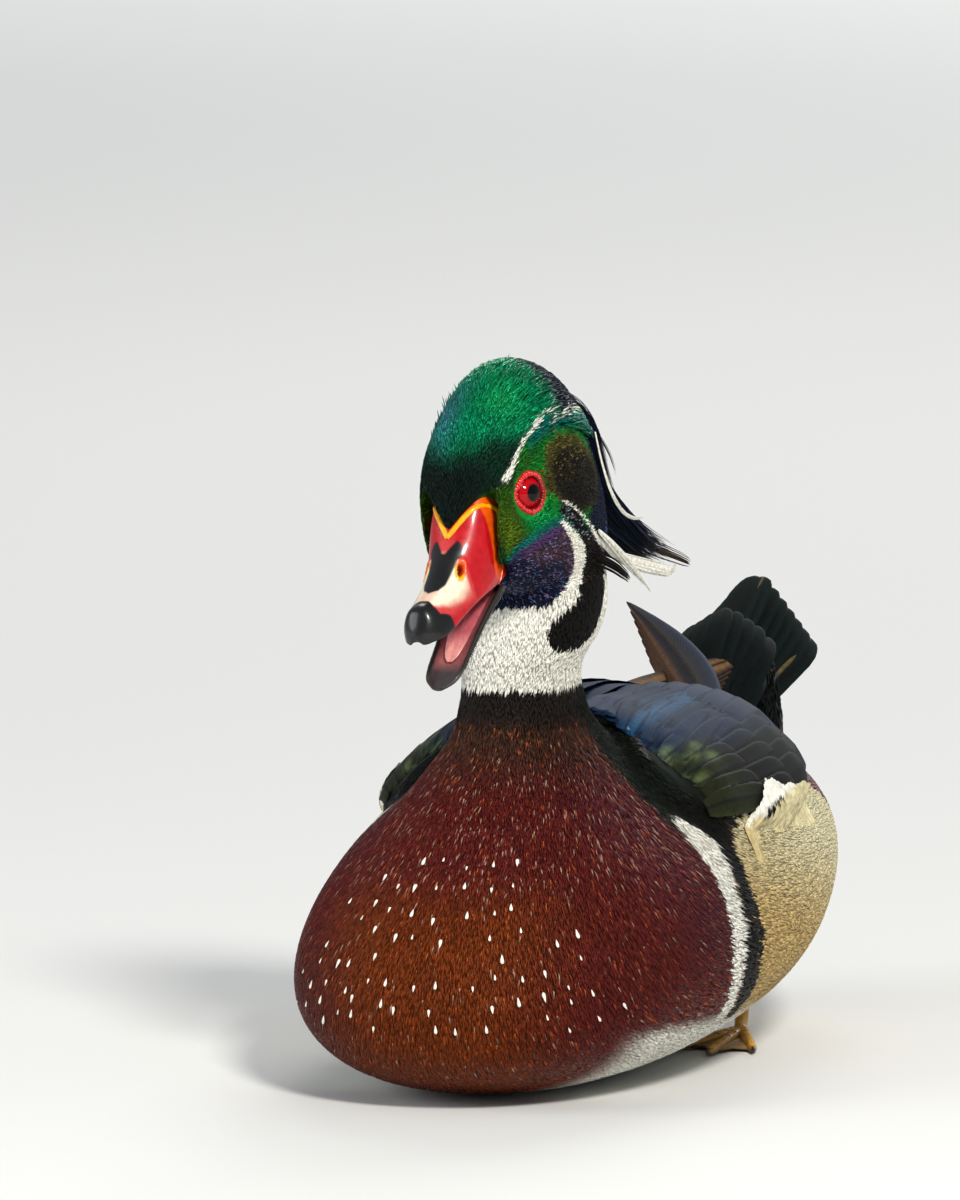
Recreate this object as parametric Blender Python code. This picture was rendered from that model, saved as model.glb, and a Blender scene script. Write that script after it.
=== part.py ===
"""A life-size still model of a drake wood duck, resting on its belly as it floats: chest to the front, head turned
a little to its right and dipped, bill half open, wing tips crossed over the rump and the tail cocked.

Lengths are in millimetres, and solid() turns them into metres. The duck looks along -Y, +X is its own left, +Z is
up, and the origin is the middle of the flat of the belly that it rests on.
"""
import math

import bmesh
import bpy
import numpy as np
from mathutils import Matrix, Vector
from mathutils.bvhtree import BVHTree

METRES = 0.001
# The air left between two parts that lie against each other.
GAP, WIDE_GAP, COLLAR_GAP = 0.3, 0.36, 0.4

# The head stands on its own axes: its front is -Y and its origin is midway between the eyes.
HEAD_PLACE = (-0.8, -86.0, 189.0)
HEAD_YAW, HEAD_PITCH, HEAD_ROLL = (math.radians(a) for a in (-11.3, 16.5, -5.0))
HEAD = (Matrix.Translation(HEAD_PLACE) @ Matrix.Rotation(HEAD_YAW, 4, "Z")
        @ Matrix.Rotation(HEAD_PITCH, 4, "X") @ Matrix.Rotation(HEAD_ROLL, 4, "Y"))

# Body sections fan from the throat, over the breast and belly, to the root of the tail. Each row is the lower
# point (y, z) and the upper point (y, z) of the section, its half width, how far up the widest place is and how far
# it lies to the duck's left.
BODY = (
    ("crown root", -62, 170, -30, 180, 17.0, 0.50, 5.0),
    ("throat", -72, 151, -23, 161, 24.0, 0.50, 3.5),
    ("ruff", -75, 138, -21, 148, 24.0, 0.50, 2.0),
    ("collar", -75, 125, -25, 134, 19.3, 0.50, 0.5),
    ("neck root", -83, 108, -14, 117, 21.0, 0.50, 0.0),
    ("upper breast", -101, 92, 0, 108, 29.0, 0.48, 0.0),
    ("crop", -123, 74, 16, 104, 38.0, 0.46, 0.0),
    ("breast", -142, 54, 32, 102, 49.0, 0.45, 0.0),
    ("breast front", -152, 34, 50, 101, 60.0, 0.44, 0.0),
    ("keel", -147, 14, 68, 100, 68.5, 0.44, 0.0),
    ("fore belly", -120, 2, 86, 98, 75.0, 0.45, 0.0),
    ("belly", -76, -2.5, 102, 95, 77.0, 0.46, 0.0),
    ("mid belly", -20, -2.5, 116, 93, 75.0, 0.48, 0.0),
    ("hind belly", 36, -1.5, 129, 91, 66.5, 0.50, 0.0),
    ("vent", 84, 8, 139, 88, 55.0, 0.50, 0.0),
    ("under tail", 118, 26, 147, 86, 43.0, 0.50, 0.0),
    ("tail root", 140, 45, 155, 83, 33.0, 0.50, 0.0),
)
BODY_FULLNESS = 2.15
REST_Z = 0.0

# Head sections across its own long axis, front to back: forward distance, top, underside, half width, how far up
# the widest place is and how square the section is.
SKULL = (
    (28.0, -3.0, -15, 5.0, 0.45, 2.1),
    (24, 6, -20, 9.5, 0.42, 2.2),
    (18, 16.5, -24, 14.6, 0.37, 2.4),
    (10, 25, -28, 17.8, 0.36, 2.5),
    (0, 31, -33, 18.8, 0.37, 2.5),
    (-10, 34, -38, 19.4, 0.39, 2.4),
    (-20, 35, -43, 19.8, 0.42, 2.3),
    (-30, 33.5, -47, 19.6, 0.43, 2.2),
    (-39, 28.5, -49, 18.2, 0.45, 2.2),
    (-47, 20, -46, 15.2, 0.46, 2.1),
    (-53, 9, -38, 9.5, 0.48, 2.1),
)
# A shallow hollow in which each eye is set.
HOLLOW_RADIUS, HOLLOW_OUT = 22.0, 25.4

# Upper bill sections: forward distance, culmen, cutting edge, half width at the edge and how round the top is.
UPPER_BILL = (
    (9, 9.5, -20.5, 12.0, 5.5),
    (15, 8.0, -20.8, 12.0, 5.0),
    (21, 4.0, -21.2, 11.2, 3.6),
    (28, -3, -21.8, 9.8, 2.5),
    (35, -8.5, -22.8, 8.8, 2.1),
    (42, -12.5, -24.0, 8.3, 2.1),
    (49, -15, -25.2, 7.9, 2.2),
    (54, -16.8, -25.8, 6.8, 2.3),
    (57.5, -19.0, -25.6, 4.6, 2.3),
    (59, -21.5, -24.8, 2.2, 2.2),
)
# Lower bill sections, before it drops open: forward distance, edge height, depth below it and half width.
LOWER_BILL = (
    (8, -22.5, 7.0, 8.2),
    (16, -22.5, 6.0, 8.4),
    (24, -22.7, 5.0, 8.0),
    (34, -23.6, 4.2, 7.4),
    (44, -25.0, 3.6, 6.9),
    (51, -26.0, 3.2, 6.5),
    (55, -26.4, 2.6, 5.2),
    (58, -26.6, 1.6, 2.4),
)
JAW_HINGE = (10.0, -21.0)
JAW_OPEN = math.radians(20.5)

EYE_RADIUS = 6.2
EYE_FORWARD, EYE_SIDE, EYE_UP = -3.8, 11.3, 0.0
EYE_TURN = math.radians(14.0)
RING_RADIUS, RING_TUBE, RING_OUT = 6.1, 1.25, 4.6
RING_STEPS, TUBE_STEPS = 20, 6

COLOURS = {
    "head": ((0.01, 0.10, 0.06), 0.35, 0.2),
    "breast": ((0.14, 0.025, 0.012), 0.5, 0.0),
    "bill": ((0.55, 0.03, 0.03), 0.3, 0.0),
    "bill_dark": ((0.03, 0.03, 0.03), 0.3, 0.0),
    "tongue": ((0.55, 0.20, 0.20), 0.4, 0.0),
    "eye": ((0.45, 0.005, 0.008), 0.1, 0.0),
    "wing": ((0.01, 0.02, 0.04), 0.35, 0.2),
    "tail": ((0.008, 0.010, 0.012), 0.4, 0.1),
    "foot": ((0.35, 0.25, 0.06), 0.5, 0.0),
}


def material(name):
    """The plain material of one kind of surface."""
    found = bpy.data.materials.get(name)
    if found:
        return found
    colour, roughness, metallic = COLOURS[name]
    made = bpy.data.materials.new(name)
    made.use_nodes = True
    shader = made.node_tree.nodes["Principled BSDF"]
    shader.inputs["Base Color"].default_value = (*colour, 1)
    shader.inputs["Roughness"].default_value = roughness
    shader.inputs["Metallic"].default_value = metallic
    return made


def solid(name, points, faces, matrix=None, collection=None, finish="wing"):
    """A new object from points in millimetres, on the axes that matrix gives."""
    points = np.asarray(points, float).reshape(-1, 3)
    if matrix is not None:
        turned = np.array(matrix)
        points = points @ turned[:3, :3].T + turned[:3, 3]
    mesh = bpy.data.meshes.new(name)
    mesh.from_pydata((points * METRES).tolist(), [], [tuple(f) for f in faces])
    mesh.validate()
    work = bmesh.new()
    work.from_mesh(mesh)
    bmesh.ops.recalc_face_normals(work, faces=work.faces)
    work.to_mesh(mesh)
    work.free()
    mesh.materials.append(material(finish))
    made = bpy.data.objects.new(name, mesh)
    (collection or parts).objects.link(made)
    return made


def through(rows, count):
    """Rows of numbers read as one smooth curve, at count even steps."""
    rows = np.asarray(rows, float)
    at = np.linspace(0, len(rows) - 1, count)
    return np.array([between(rows, a) for a in at])


def between(rows, at):
    """The smooth curve through rows, at place at, counted in rows."""
    last = len(rows) - 1
    i = int(min(max(math.floor(at), 0), last - 1))
    f = at - i
    before, here = rows[max(i - 1, 0)], rows[i]
    there, after = rows[i + 1], rows[min(i + 2, last)]
    return 0.5 * (2 * here + (there - before) * f + (2 * before - 5 * here + 4 * there - after) * f ** 2
                  + (3 * here - before - 3 * there + after) * f ** 3)


def swell(value, fullness):
    """A sine or cosine pushed out towards a square as fullness passes 2."""
    return math.copysign(abs(value) ** (2 / fullness), value)


def lofted(rings):
    """Points and faces of a closed skin over rings that all have the same number of points."""
    rings = np.asarray(rings, float)
    count, around = rings.shape[:2]
    faces = []
    for i in range(count - 1):
        here, there = i * around, (i + 1) * around
        faces += [(here + j, here + (j + 1) % around, there + (j + 1) % around, there + j) for j in range(around)]
    first = count * around
    last, base = first + 1, first - around
    faces += [(first, (j + 1) % around, j) for j in range(around)]
    faces += [(last, base + j, base + (j + 1) % around) for j in range(around)]
    return np.concatenate([rings.reshape(-1, 3), [rings[0].mean(0), rings[-1].mean(0)]]), faces


BODY_ROWS = np.array([row[1:] for row in BODY], float)


def risen(turn, share, fullness):
    """How far up a section its outline is at that turn, when its widest place is that share of the way up."""
    rise = swell(math.cos(turn), fullness)
    return share + (1 - share) * rise if rise > 0 else share * (1 + rise)


def section_point(row, turn):
    """A point on a section of the body. turn is the angle from the midline of the back."""
    low_y, low_z, high_y, high_z, half, share, aside = row
    low, high = np.array([aside, low_y, low_z]), np.array([aside, high_y, high_z])
    side = swell(math.sin(turn), BODY_FULLNESS)
    return low + (high - low) * risen(turn, share, BODY_FULLNESS) + np.array([half * side, 0, 0])


def body_rings(first, last, steps, around):
    return [[section_point(between(BODY_ROWS, at), 2 * math.pi * j / around) for j in range(around)]
            for at in np.linspace(first, last, steps)]


def made_mesh(source, name):
    """The object as its modifiers leave it, as a new object, with the old one removed."""
    graph = bpy.context.evaluated_depsgraph_get()
    mesh = bpy.data.meshes.new_from_object(source.evaluated_get(graph))
    mesh.transform(source.matrix_world)
    made = bpy.data.objects.new(name, mesh)
    parts.objects.link(made)
    bpy.data.objects.remove(source)
    return made


def largest_shell(target):
    """Keeps the largest closed surface of a node, without loose scraps or sealed hollows."""
    work = bmesh.new()
    work.from_mesh(target.data)
    left, shells = set(work.verts), []
    while left:
        shell, edge = set(), [left.pop()]
        while edge:
            vert = edge.pop()
            shell.add(vert)
            for other in (link.other_vert(vert) for link in vert.link_edges):
                if other in left:
                    left.discard(other)
                    edge.append(other)
        shells.append(shell)

    def span(shell):
        low = [min(v.co[k] for v in shell) for k in range(3)]
        high = [max(v.co[k] for v in shell) for k in range(3)]
        return math.dist(low, high)

    shells.sort(key=span)
    for shell in shells[:-1]:
        bmesh.ops.delete(work, geom=list(shell), context="VERTS")
    work.to_mesh(target.data)
    work.free()
    return target


def combined(target, operation, others):
    """target joined with or cut by the other objects, which are then removed."""
    name = target.name
    target.name = name + ".raw"
    holder = bpy.data.collections.new(name + " tools")
    bpy.context.scene.collection.children.link(holder)
    for other in others:
        for user in list(other.users_collection):
            user.objects.unlink(other)
        holder.objects.link(other)
    change = target.modifiers.new("join", "BOOLEAN")
    change.operation, change.solver = operation, "MANIFOLD"
    change.operand_type, change.collection = "COLLECTION", holder
    made = made_mesh(target, name)
    for other in list(holder.objects):
        bpy.data.objects.remove(other)
    bpy.data.collections.remove(holder)
    return largest_shell(made)


def grown(source, by=WIDE_GAP):
    """A cutter: a copy of source with every point moved out by a gap."""
    mesh = source.data.copy()
    points = np.array([v.co + v.normal * by * METRES for v in mesh.vertices])
    mesh.vertices.foreach_set("co", points.astype(np.float32).ravel())
    made = bpy.data.objects.new(source.name + " cutter", mesh)
    made.hide_render, made.display_type = True, "WIRE"
    cutters.objects.link(made)
    return made


def prism(name, outline, depth, matrix):
    """A flat outline drawn out along its own Z from the first depth to the second."""
    count = len(outline)
    points = [(x, y, z) for z in depth for x, y in outline]
    faces = [tuple(range(count)), tuple(range(2 * count - 1, count - 1, -1))]
    faces += [(i, (i + 1) % count, count + (i + 1) % count, count + i) for i in range(count)]
    made = solid(name, points, faces, matrix, cutters)
    made.hide_render, made.display_type = True, "WIRE"
    return made


NECK_AT, NECK_GAP, TAIL_AT = 4.6, 0.022, 16.0
TORSO_STEPS, TORSO_AROUND = 28, 26
NECK_STEPS, NECK_AROUND = 11, 20


def torso():
    """The trunk, from the foot of the neck to the root of the tail, flat under the belly."""
    points, faces = lofted(body_rings(NECK_AT, TAIL_AT, TORSO_STEPS, TORSO_AROUND))
    points[:, 2] = np.maximum(points[:, 2], REST_Z)
    return solid("torso", points, faces, finish="breast")


def neck():
    """The neck, from inside the head down to the breast."""
    return solid("neck", *lofted(body_rings(0, NECK_AT - NECK_GAP, NECK_STEPS, NECK_AROUND)), finish="breast")


def head_rings(rows, around):
    rings = []
    for forward, top, low, half, share, fullness in rows:
        ring = []
        for j in range(around):
            turn = 2 * math.pi * j / around
            up = low + (top - low) * risen(turn, share, fullness)
            ring.append((half * swell(math.sin(turn), fullness), -forward, up))
        rings.append(ring)
    return rings


def skull():
    """The head without its crest, from the face to the nape."""
    return solid("head", *lofted(head_rings(through(SKULL, 17), 22)), HEAD, finish="head")


def upper_bill_form():
    """The upper bill, rounded above and hollow below, back to where the face covers it."""
    rings = []
    for forward, top, edge, half, fullness in through(UPPER_BILL, 14):
        ring = []
        for j in range(9):
            turn = math.pi * (j / 8 - 0.5)
            ring.append((half * swell(math.sin(turn), fullness), -forward,
                         edge + (top - edge) * swell(max(math.cos(turn), 0), fullness)))
        # The palate is arched, inside the cutting edges.
        for x, up in ((0.8, 0.1), (0.4, 0.22), (0, 0.26), (-0.4, 0.22), (-0.8, 0.1)):
            ring.append((half * x, -forward, edge + (top - edge) * up))
        rings.append(ring)
    return lofted(rings)


def lower_bill_form():
    """The lower bill while it is shut, as a shallow spoon."""
    rings = []
    for forward, edge, depth, half in through(LOWER_BILL, 12):
        ring = []
        for j in range(9):
            turn = math.pi * (j / 8 - 0.5)
            ring.append((-half * math.sin(turn), -forward, edge - depth * swell(max(math.cos(turn), 0), 2.4)))
        # The floor of the mouth is a trough between raised edges.
        for x, down in ((-0.82, 0.05), (-0.6, 0.42), (0, 0.5), (0.6, 0.42), (0.82, 0.05)):
            ring.append((half * x, -forward, edge - depth * down))
        rings.append(ring)
    return lofted(rings)


def opened():
    """Where the lower bill's axes go as it drops open about the hinge of the jaw."""
    pivot = Vector((0, -JAW_HINGE[0], JAW_HINGE[1]))
    return HEAD @ Matrix.Translation(pivot) @ Matrix.Rotation(JAW_OPEN, 4, "X") @ Matrix.Translation(-pivot)


# The edge of the face feathers, seen along the slope of the bill: out and up from the point on the culmen.
FACE_VIEW = Matrix.Rotation(math.radians(48), 4, "X")
FACE_EDGE = ((0, -19.5), (10.4, -3.6), (12.4, -1.5), (13.2, -5.5), (11.2, -32.0))


def face_cut():
    """The wedge in which the bill's skin shows, bounded by the point and corners of the face feathers."""
    side = list(FACE_EDGE)
    outline = side + [(side[-1][0], -80), (-side[-1][0], -80)] + [(-x, y) for x, y in reversed(side[1:])]
    return prism("face", outline, (-3.0, 80.0), HEAD @ FACE_VIEW)


def unit(v):
    v = np.asarray(v, float)
    return v / np.maximum(np.linalg.norm(v, axis=-1, keepdims=True), 1e-9)


# How wide a feather is from its root to its tip, as shares of its full width.
VANE_SHAPE = (0.45, 0.85, 1.0, 0.95, 0.3)
POINTED = (0.5, 0.9, 1.0, 0.6, 0.08)
PLUME = (0.7, 1.0, 1.0, 0.75, 0.16)
COVERT = (0.7, 1.0, 0.95, 0.35)


def vane(path, facing, width, thick=0.9, shape=VANE_SHAPE, camber=0.12):
    """A feather as one thin closed blade along a path. facing is the way its upper face looks at each station.

    Both faces are split into triangles along the same diagonals, so that they can't cross where the blade bends.
    """
    path, facing = np.asarray(path, float), unit(facing)
    count = len(path)
    along = unit(np.gradient(path, axis=0))
    across = unit(np.cross(along, facing))
    up = unit(np.cross(across, along))
    place = np.linspace(0, 1, count)
    half = width / 2 * np.interp(place, np.linspace(0, 1, len(shape)), shape)
    depth = thick / 2 * np.interp(place, (0, 0.75, 1), (1.15, 1, 0.55))
    points = []
    for k in range(count):
        for sign in (1, -1):
            for side in (-1, 0, 1):
                crown = camber * half[k] * (1 - abs(side))
                points.append(path[k] + across[k] * side * half[k] + up[k] * (crown + sign * depth[k]))
    faces = []
    for k in range(count - 1):
        here, there = 6 * k, 6 * k + 6
        for j in (0, 1):
            a, b, c, d = here + j, here + j + 1, there + j + 1, there + j
            faces += [(a, b, c), (a, c, d), (b + 3, a + 3, c + 3), (c + 3, a + 3, d + 3)]
        for top, under in ((0, 3), (2, 5)):
            a, b, c, d = here + top, here + under, there + under, there + top
            faces += [(a, b, c), (a, c, d)]
    last = 6 * (count - 1)
    for base in (0, last):
        faces += [(base, base + 1, base + 4), (base, base + 4, base + 3),
                  (base + 1, base + 2, base + 5), (base + 1, base + 5, base + 4)]
    return np.array(points), faces


def bend(root, middle, tip, count=5):
    """A path that leaves root towards middle and comes in to tip."""
    root, middle, tip = (np.asarray(p, float) for p in (root, middle, tip))
    t = np.linspace(0, 1, count)[:, None]
    return root * (1 - t) ** 2 + middle * 2 * t * (1 - t) + tip * t ** 2


# The crest: plumes rooted round the back of the crown, from the top (0) to the nape (1), that hug the back of the
# head, sweep out below it and are blown to the duck's left at their ends. Places are forward, left and up on the
# head's axes.
CREST_LEVELS = 4
CREST_TOP_TIP, CREST_LOW_TIP = (-83, 15, -53), (-65, 8, -64)
CREST_WIDTH = 10.0
# The long white plumes of each side: root, middle, tip and width.
WHITE_PLUMES = (
    ((-38, 15, 14), (-54, 17, -12), (-66, 18, -30), 3.6),
    ((-28, 19, -14), (-50, 20, -32), (-71, 21, -52), 3.8),
    ((-30, 19, -22), (-46, 19, -42), (-60, 18, -58), 3.6),
)


def head_place(forward, left, up):
    return np.array([left, -forward, up], float)


def crest():
    """The plumes of the crest, as closed blades on the head's axes."""
    blades = []
    top, low = np.array(CREST_TOP_TIP), np.array(CREST_LOW_TIP)
    for level in range(CREST_LEVELS):
        u = level / (CREST_LEVELS - 1)
        turn = math.radians(12 + 100 * u)
        for side in (-1, 0, 1):
            spread = side * (9.5 + 4 * math.sin(math.pi * u))
            root = head_place(-20 - 27 * math.sin(turn), spread * 0.8, -4 + 34 * math.cos(turn))
            forward, left, up = top + (low - top) * u
            tip = head_place(forward, left + spread * 0.5, up + abs(side) * 2)
            tip = root + (tip - root) * (1.0 - 0.07 * abs(side) - 0.05 * (level % 2))
            middle = head_place(-52 - 3 * u, spread * 1.1 + 1, -20 - 26 * u)
            facing = head_place(-0.75 * (1 - 0.5 * abs(side)), 0.9 * side, 0.5)
            blades.append(vane(bend(root, middle, tip), [facing] * 5, CREST_WIDTH, 1.0, PLUME, 0.05))
    for side in (-1, 1):
        for root, middle, tip, width in WHITE_PLUMES:
            path = [head_place(f, side * l, u) for f, l, u in (root, middle, tip)]
            blades.append(vane(bend(*path), [(side, 0.2, 0.3)] * 5, width, 1.0, PLUME, 0.1))
    return blades


def ring_round_eye(side):
    """The thick ring of the lids, taller than long, with its corner drawn out to the front."""
    points = []
    for i in range(RING_STEPS):
        turn = 2 * math.pi * i / RING_STEPS
        corner = 1.6 * max(math.cos(turn), 0) ** 6
        middle = np.array([(RING_RADIUS - 0.7 + corner) * math.cos(turn), RING_RADIUS * math.sin(turn)])
        for j in range(TUBE_STEPS):
            tube = 2 * math.pi * j / TUBE_STEPS
            out = middle * (1 + RING_TUBE * math.cos(tube) / RING_RADIUS)
            points.append((out[0], out[1], RING_TUBE * math.sin(tube)))
    faces = []
    for i in range(RING_STEPS):
        here, there = i * TUBE_STEPS, (i + 1) % RING_STEPS * TUBE_STEPS
        for j in range(TUBE_STEPS):
            k = (j + 1) % TUBE_STEPS
            faces.append((here + j, here + k, there + k, there + j))
    return points, faces, eye_place(side, RING_OUT)


def eye_place(side, out=0.0):
    """The axes of an eye: X to the front, Y up and Z out of the head."""
    at = Vector((side * EYE_SIDE, -EYE_FORWARD, EYE_UP))
    z = Vector((side * math.cos(EYE_TURN), -math.sin(EYE_TURN), 0.06)).normalized()
    front = Vector((0, -1, 0))
    x = (front - z * front.dot(z)).normalized()
    y = z.cross(x)
    return HEAD @ Matrix.Translation(at + z * out) @ Matrix(((x.x, y.x, z.x, 0), (x.y, y.y, z.y, 0),
                                                              (x.z, y.z, z.z, 0), (0, 0, 0, 1)))


def ball(name, radius, place, segments=16, finish="eye", stretch=(1, 1, 1), collection=None):
    """A ball, or an egg shape where it is stretched, in millimetres on the axes of place."""
    bpy.ops.mesh.primitive_uv_sphere_add(segments=segments, ring_count=segments // 2, radius=radius)
    made = bpy.context.active_object
    made.name = name
    made.data.transform(Matrix.Scale(METRES, 4) @ place @ Matrix.Diagonal((*stretch, 1)))
    work = bmesh.new()
    work.from_mesh(made.data)
    bmesh.ops.recalc_face_normals(work, faces=work.faces)
    work.to_mesh(made.data)
    work.free()
    made.data.materials.append(material(finish))
    for user in list(made.users_collection):
        user.objects.unlink(made)
    (collection or parts).objects.link(made)
    return made


# The tongue: forward distance, half width and thickness.
TONGUE = ((9, 4.4, 2.4), (18, 4.8, 2.8), (28, 4.6, 2.6), (37, 4.0, 2.2), (44, 2.6, 1.4), (46.5, 1.0, 0.8))


def tongue_form():
    """The tongue, lying in the trough of the lower bill."""
    forwards = [row[0] for row in LOWER_BILL]
    troughs = [edge - depth * 0.5 for _, edge, depth, _ in LOWER_BILL]
    rings = []
    for forward, half, thick in TONGUE:
        middle = np.interp(forward, forwards, troughs) + 0.5 + thick / 2
        turns = [2 * math.pi * j / 10 for j in range(10)]
        rings.append([(half * math.sin(a), -forward, middle + thick / 2 * math.cos(a)) for a in turns])
    return lofted(rings)


# The folded wing is laid over the back. y is the place along the body, and the angle is turned from straight up
# about a line that runs along the inside of the body.
SPINE_Z = 52.0
WING_Y = (-26, 132)
WING_LOW = ((-26, 54), (-10, 66), (25, 72), (65, 66), (95, 54), (120, 36), (132, 22))
WING_HIGH = ((-26, 34), (-12, 20), (12, 5), (132, 5))
WING_THICK = 9.0
WING_ALONG, WING_ACROSS = 10, 6
# Behind this place the trunk is too narrow to lay a wing on, so the wing runs straight on.
WING_REACH_Y = 138.0


def trunk_reach(y, angle):
    """How far the trunk's surface is from the spine line, in the direction of that angle."""
    away = Vector((math.sin(angle), 0, math.cos(angle)))
    origin = Vector((0, y, SPINE_Z)) * METRES
    hit = TRUNK.ray_cast(origin + away * 0.3, -away)[0]
    return (hit - origin).length / METRES if hit else 30.0


def wing_point(side, y, degrees, lift, over_core=True):
    """A place on the wing of that side, lifted off its core."""
    angle = math.radians(degrees)
    y_on = min(y, WING_REACH_Y)
    reach = trunk_reach(y_on, angle) + lift + (wing_depth(y, degrees) if over_core else 0)
    return np.array([side * reach * math.sin(angle), y, SPINE_Z + reach * math.cos(angle)])


def wing_low(y):
    return np.interp(y, *np.array(WING_LOW).T)


def wing_high(y):
    return np.interp(y, *np.array(WING_HIGH).T)


def wing_depth(y, degrees):
    """How thick the wing's core is there."""
    u = np.clip((y - WING_Y[0]) / (WING_Y[1] - WING_Y[0]), 0, 1)
    v = np.clip((degrees - wing_high(y)) / (wing_low(y) - wing_high(y)), 0, 1)
    swelling = math.sin(math.pi * (0.12 + 0.76 * u)) ** 0.7
    return 1.2 + (WING_THICK - 1.2) * swelling * math.sin(math.pi * (0.18 + 0.72 * v)) ** 0.8


def wing_core(side):
    """The arm and the bases of the feathers, as one low cushion on the back."""
    over, under = [], []
    for i in range(WING_ALONG):
        y = WING_Y[0] + (WING_Y[1] - WING_Y[0]) * i / (WING_ALONG - 1)
        low, high = wing_low(y), wing_high(y)
        for j in range(WING_ACROSS):
            degrees = high + (low - high) * j / (WING_ACROSS - 1)
            over.append(wing_point(side, y, degrees, 0))
            under.append(wing_point(side, y, degrees, -3.0, over_core=False))
    points = over + under
    half, faces = len(over), []
    for i in range(WING_ALONG - 1):
        for j in range(WING_ACROSS - 1):
            a, b = i * WING_ACROSS + j, (i + 1) * WING_ACROSS + j
            c, d = half + a, half + b
            faces += [(a, a + 1, b + 1), (a, b + 1, b), (c + 1, c, d + 1), (d + 1, c, d)]
    rim = list(range(WING_ACROSS)) + [i * WING_ACROSS + WING_ACROSS - 1 for i in range(1, WING_ALONG)]
    rim += [(WING_ALONG - 1) * WING_ACROSS + j for j in range(WING_ACROSS - 2, -1, -1)]
    rim += [i * WING_ACROSS for i in range(WING_ALONG - 2, 0, -1)]
    faces += [(a, b, b + half, a + half) for a, b in zip(rim, rim[1:] + rim[:1])]
    return points, faces


# Tiers of the wing: name, count, root y and angle of the first and last feather, tip y and angle of the first and
# last, width, and how far the tips stand off the core.
WING_TIERS = (
    ("tertials", 5, (38, 16), (30, 60), (128, 8), (112, 46), 19.0, 2.6),
    ("greater coverts", 5, (24, 26), (18, 66), (74, 24), (66, 62), 16.0, 2.4),
    ("median coverts", 5, (-6, 14), (0, 66), (40, 14), (34, 66), 17.0, 2.2),
    ("scapulars", 3, (-16, 26), (-20, 52), (18, 14), (14, 58), 17.0, 1.9),
)


def surface_vane(side, root, tip, width, stand, count=5, thick=0.9):
    """A feather laid over the wing, sunk at its root."""
    path, facing = [], []
    for k in range(count):
        f = k / (count - 1)
        y, degrees = root[0] + (tip[0] - root[0]) * f, root[1] + (tip[1] - root[1]) * f
        lift = -2.2 + (stand + 2.2) * min(1, f * 1.7) ** 0.8
        path.append(wing_point(side, y, degrees, lift))
        angle = math.radians(degrees)
        facing.append((side * math.sin(angle), 0, math.cos(angle)))
    return vane(path, facing, width, thick, camber=0.04)


# Primaries of the left wing cross the rump to the right and are lifted; those of the right wing lie lower and
# cross to the left. Root, middle and tip of the longest, and the way their upper side faces.
PRIMARIES = {
    1: ((24, 84, 101), (2, 140, 111), (-36, 190, 122), (-0.30, -0.40, 0.86)),
    -1: ((-22, 84, 98), (-4, 134, 103), (13, 184, 109), (0.40, -0.35, 0.84)),
}
PRIMARY_COUNT = 4


def primaries(side):
    """The long wing tips, one under another, each shorter and a little lower than the last."""
    root, middle, tip, facing = (np.array(v, float) for v in PRIMARIES[side])
    facing = unit(facing)
    way = unit(tip - middle)
    aside = unit(np.cross(way, facing)) * -side
    blades = []
    for k in range(PRIMARY_COUNT):
        under = -facing * 1.5 * k
        bent, short = under + aside * 1.6 * k, under + aside * 2.4 * k - way * 10 * k
        path = bend(root + under, middle + bent, tip + short)
        blades.append(vane(path, [facing] * 5, 13.5, 0.9, POINTED, 0.05))
    return blades


def fused(name, core, blades, matrix=None, finish="wing"):
    """A core joined with its blades into one closed body."""
    base = solid(name, *core, matrix, finish=finish)
    pieces = [solid(f"{name} blade", points, faces, matrix, cutters, finish) for points, faces in blades]
    return combined(base, "UNION", pieces)


def wing(name, side):
    """A folded wing: coverts, scapulars and tertials in tiers over its core, and the primaries past them."""
    blades = primaries(side)
    for tier, count, root_a, root_b, tip_a, tip_b, width, stand in WING_TIERS:
        for k in range(count):
            f = k / (count - 1)
            root = np.array(root_a) + (np.array(root_b) - root_a) * f
            tip = np.array(tip_a) + (np.array(tip_b) - tip_a) * f
            count_along = 5 if tier == "tertials" else 4
            blades.append(surface_vane(side, root, tip, width, stand + 1.4 * (k % 2), count_along))
    return fused(name, wing_core(side), blades)


# The rump runs on from the trunk: the same kind of sections as the body's.
RUMP = (
    (140, 45, 155, 83, 33.0, 0.50, 0.0),
    (151, 58, 163, 92, 29.0, 0.52, 0.0),
    (163, 73, 172, 101, 25.0, 0.54, 0.0),
    (175, 88, 181, 109, 20.0, 0.56, 0.0),
    (187, 101, 191, 116, 14.0, 0.58, 0.0),
)
RUMP_STEPS, RUMP_AROUND = 7, 18
TAIL_COUNT = 10
TAIL_TIP, TAIL_BASE = (212.0, 131.0), (152.0, 86.0)
TAIL_LEVEL, TAIL_ASIDE = 1.25, 3.5


def rump_rings():
    """The rump's sections, moved back from the trunk's end by a gap."""
    gap = unit([0, RUMP[1][0] - RUMP[0][0], RUMP[1][1] - RUMP[0][1]]) * WIDE_GAP
    return [[section_point(row, 2 * math.pi * j / RUMP_AROUND) + gap for j in range(RUMP_AROUND)]
            for row in through(RUMP, RUMP_STEPS)]


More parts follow.
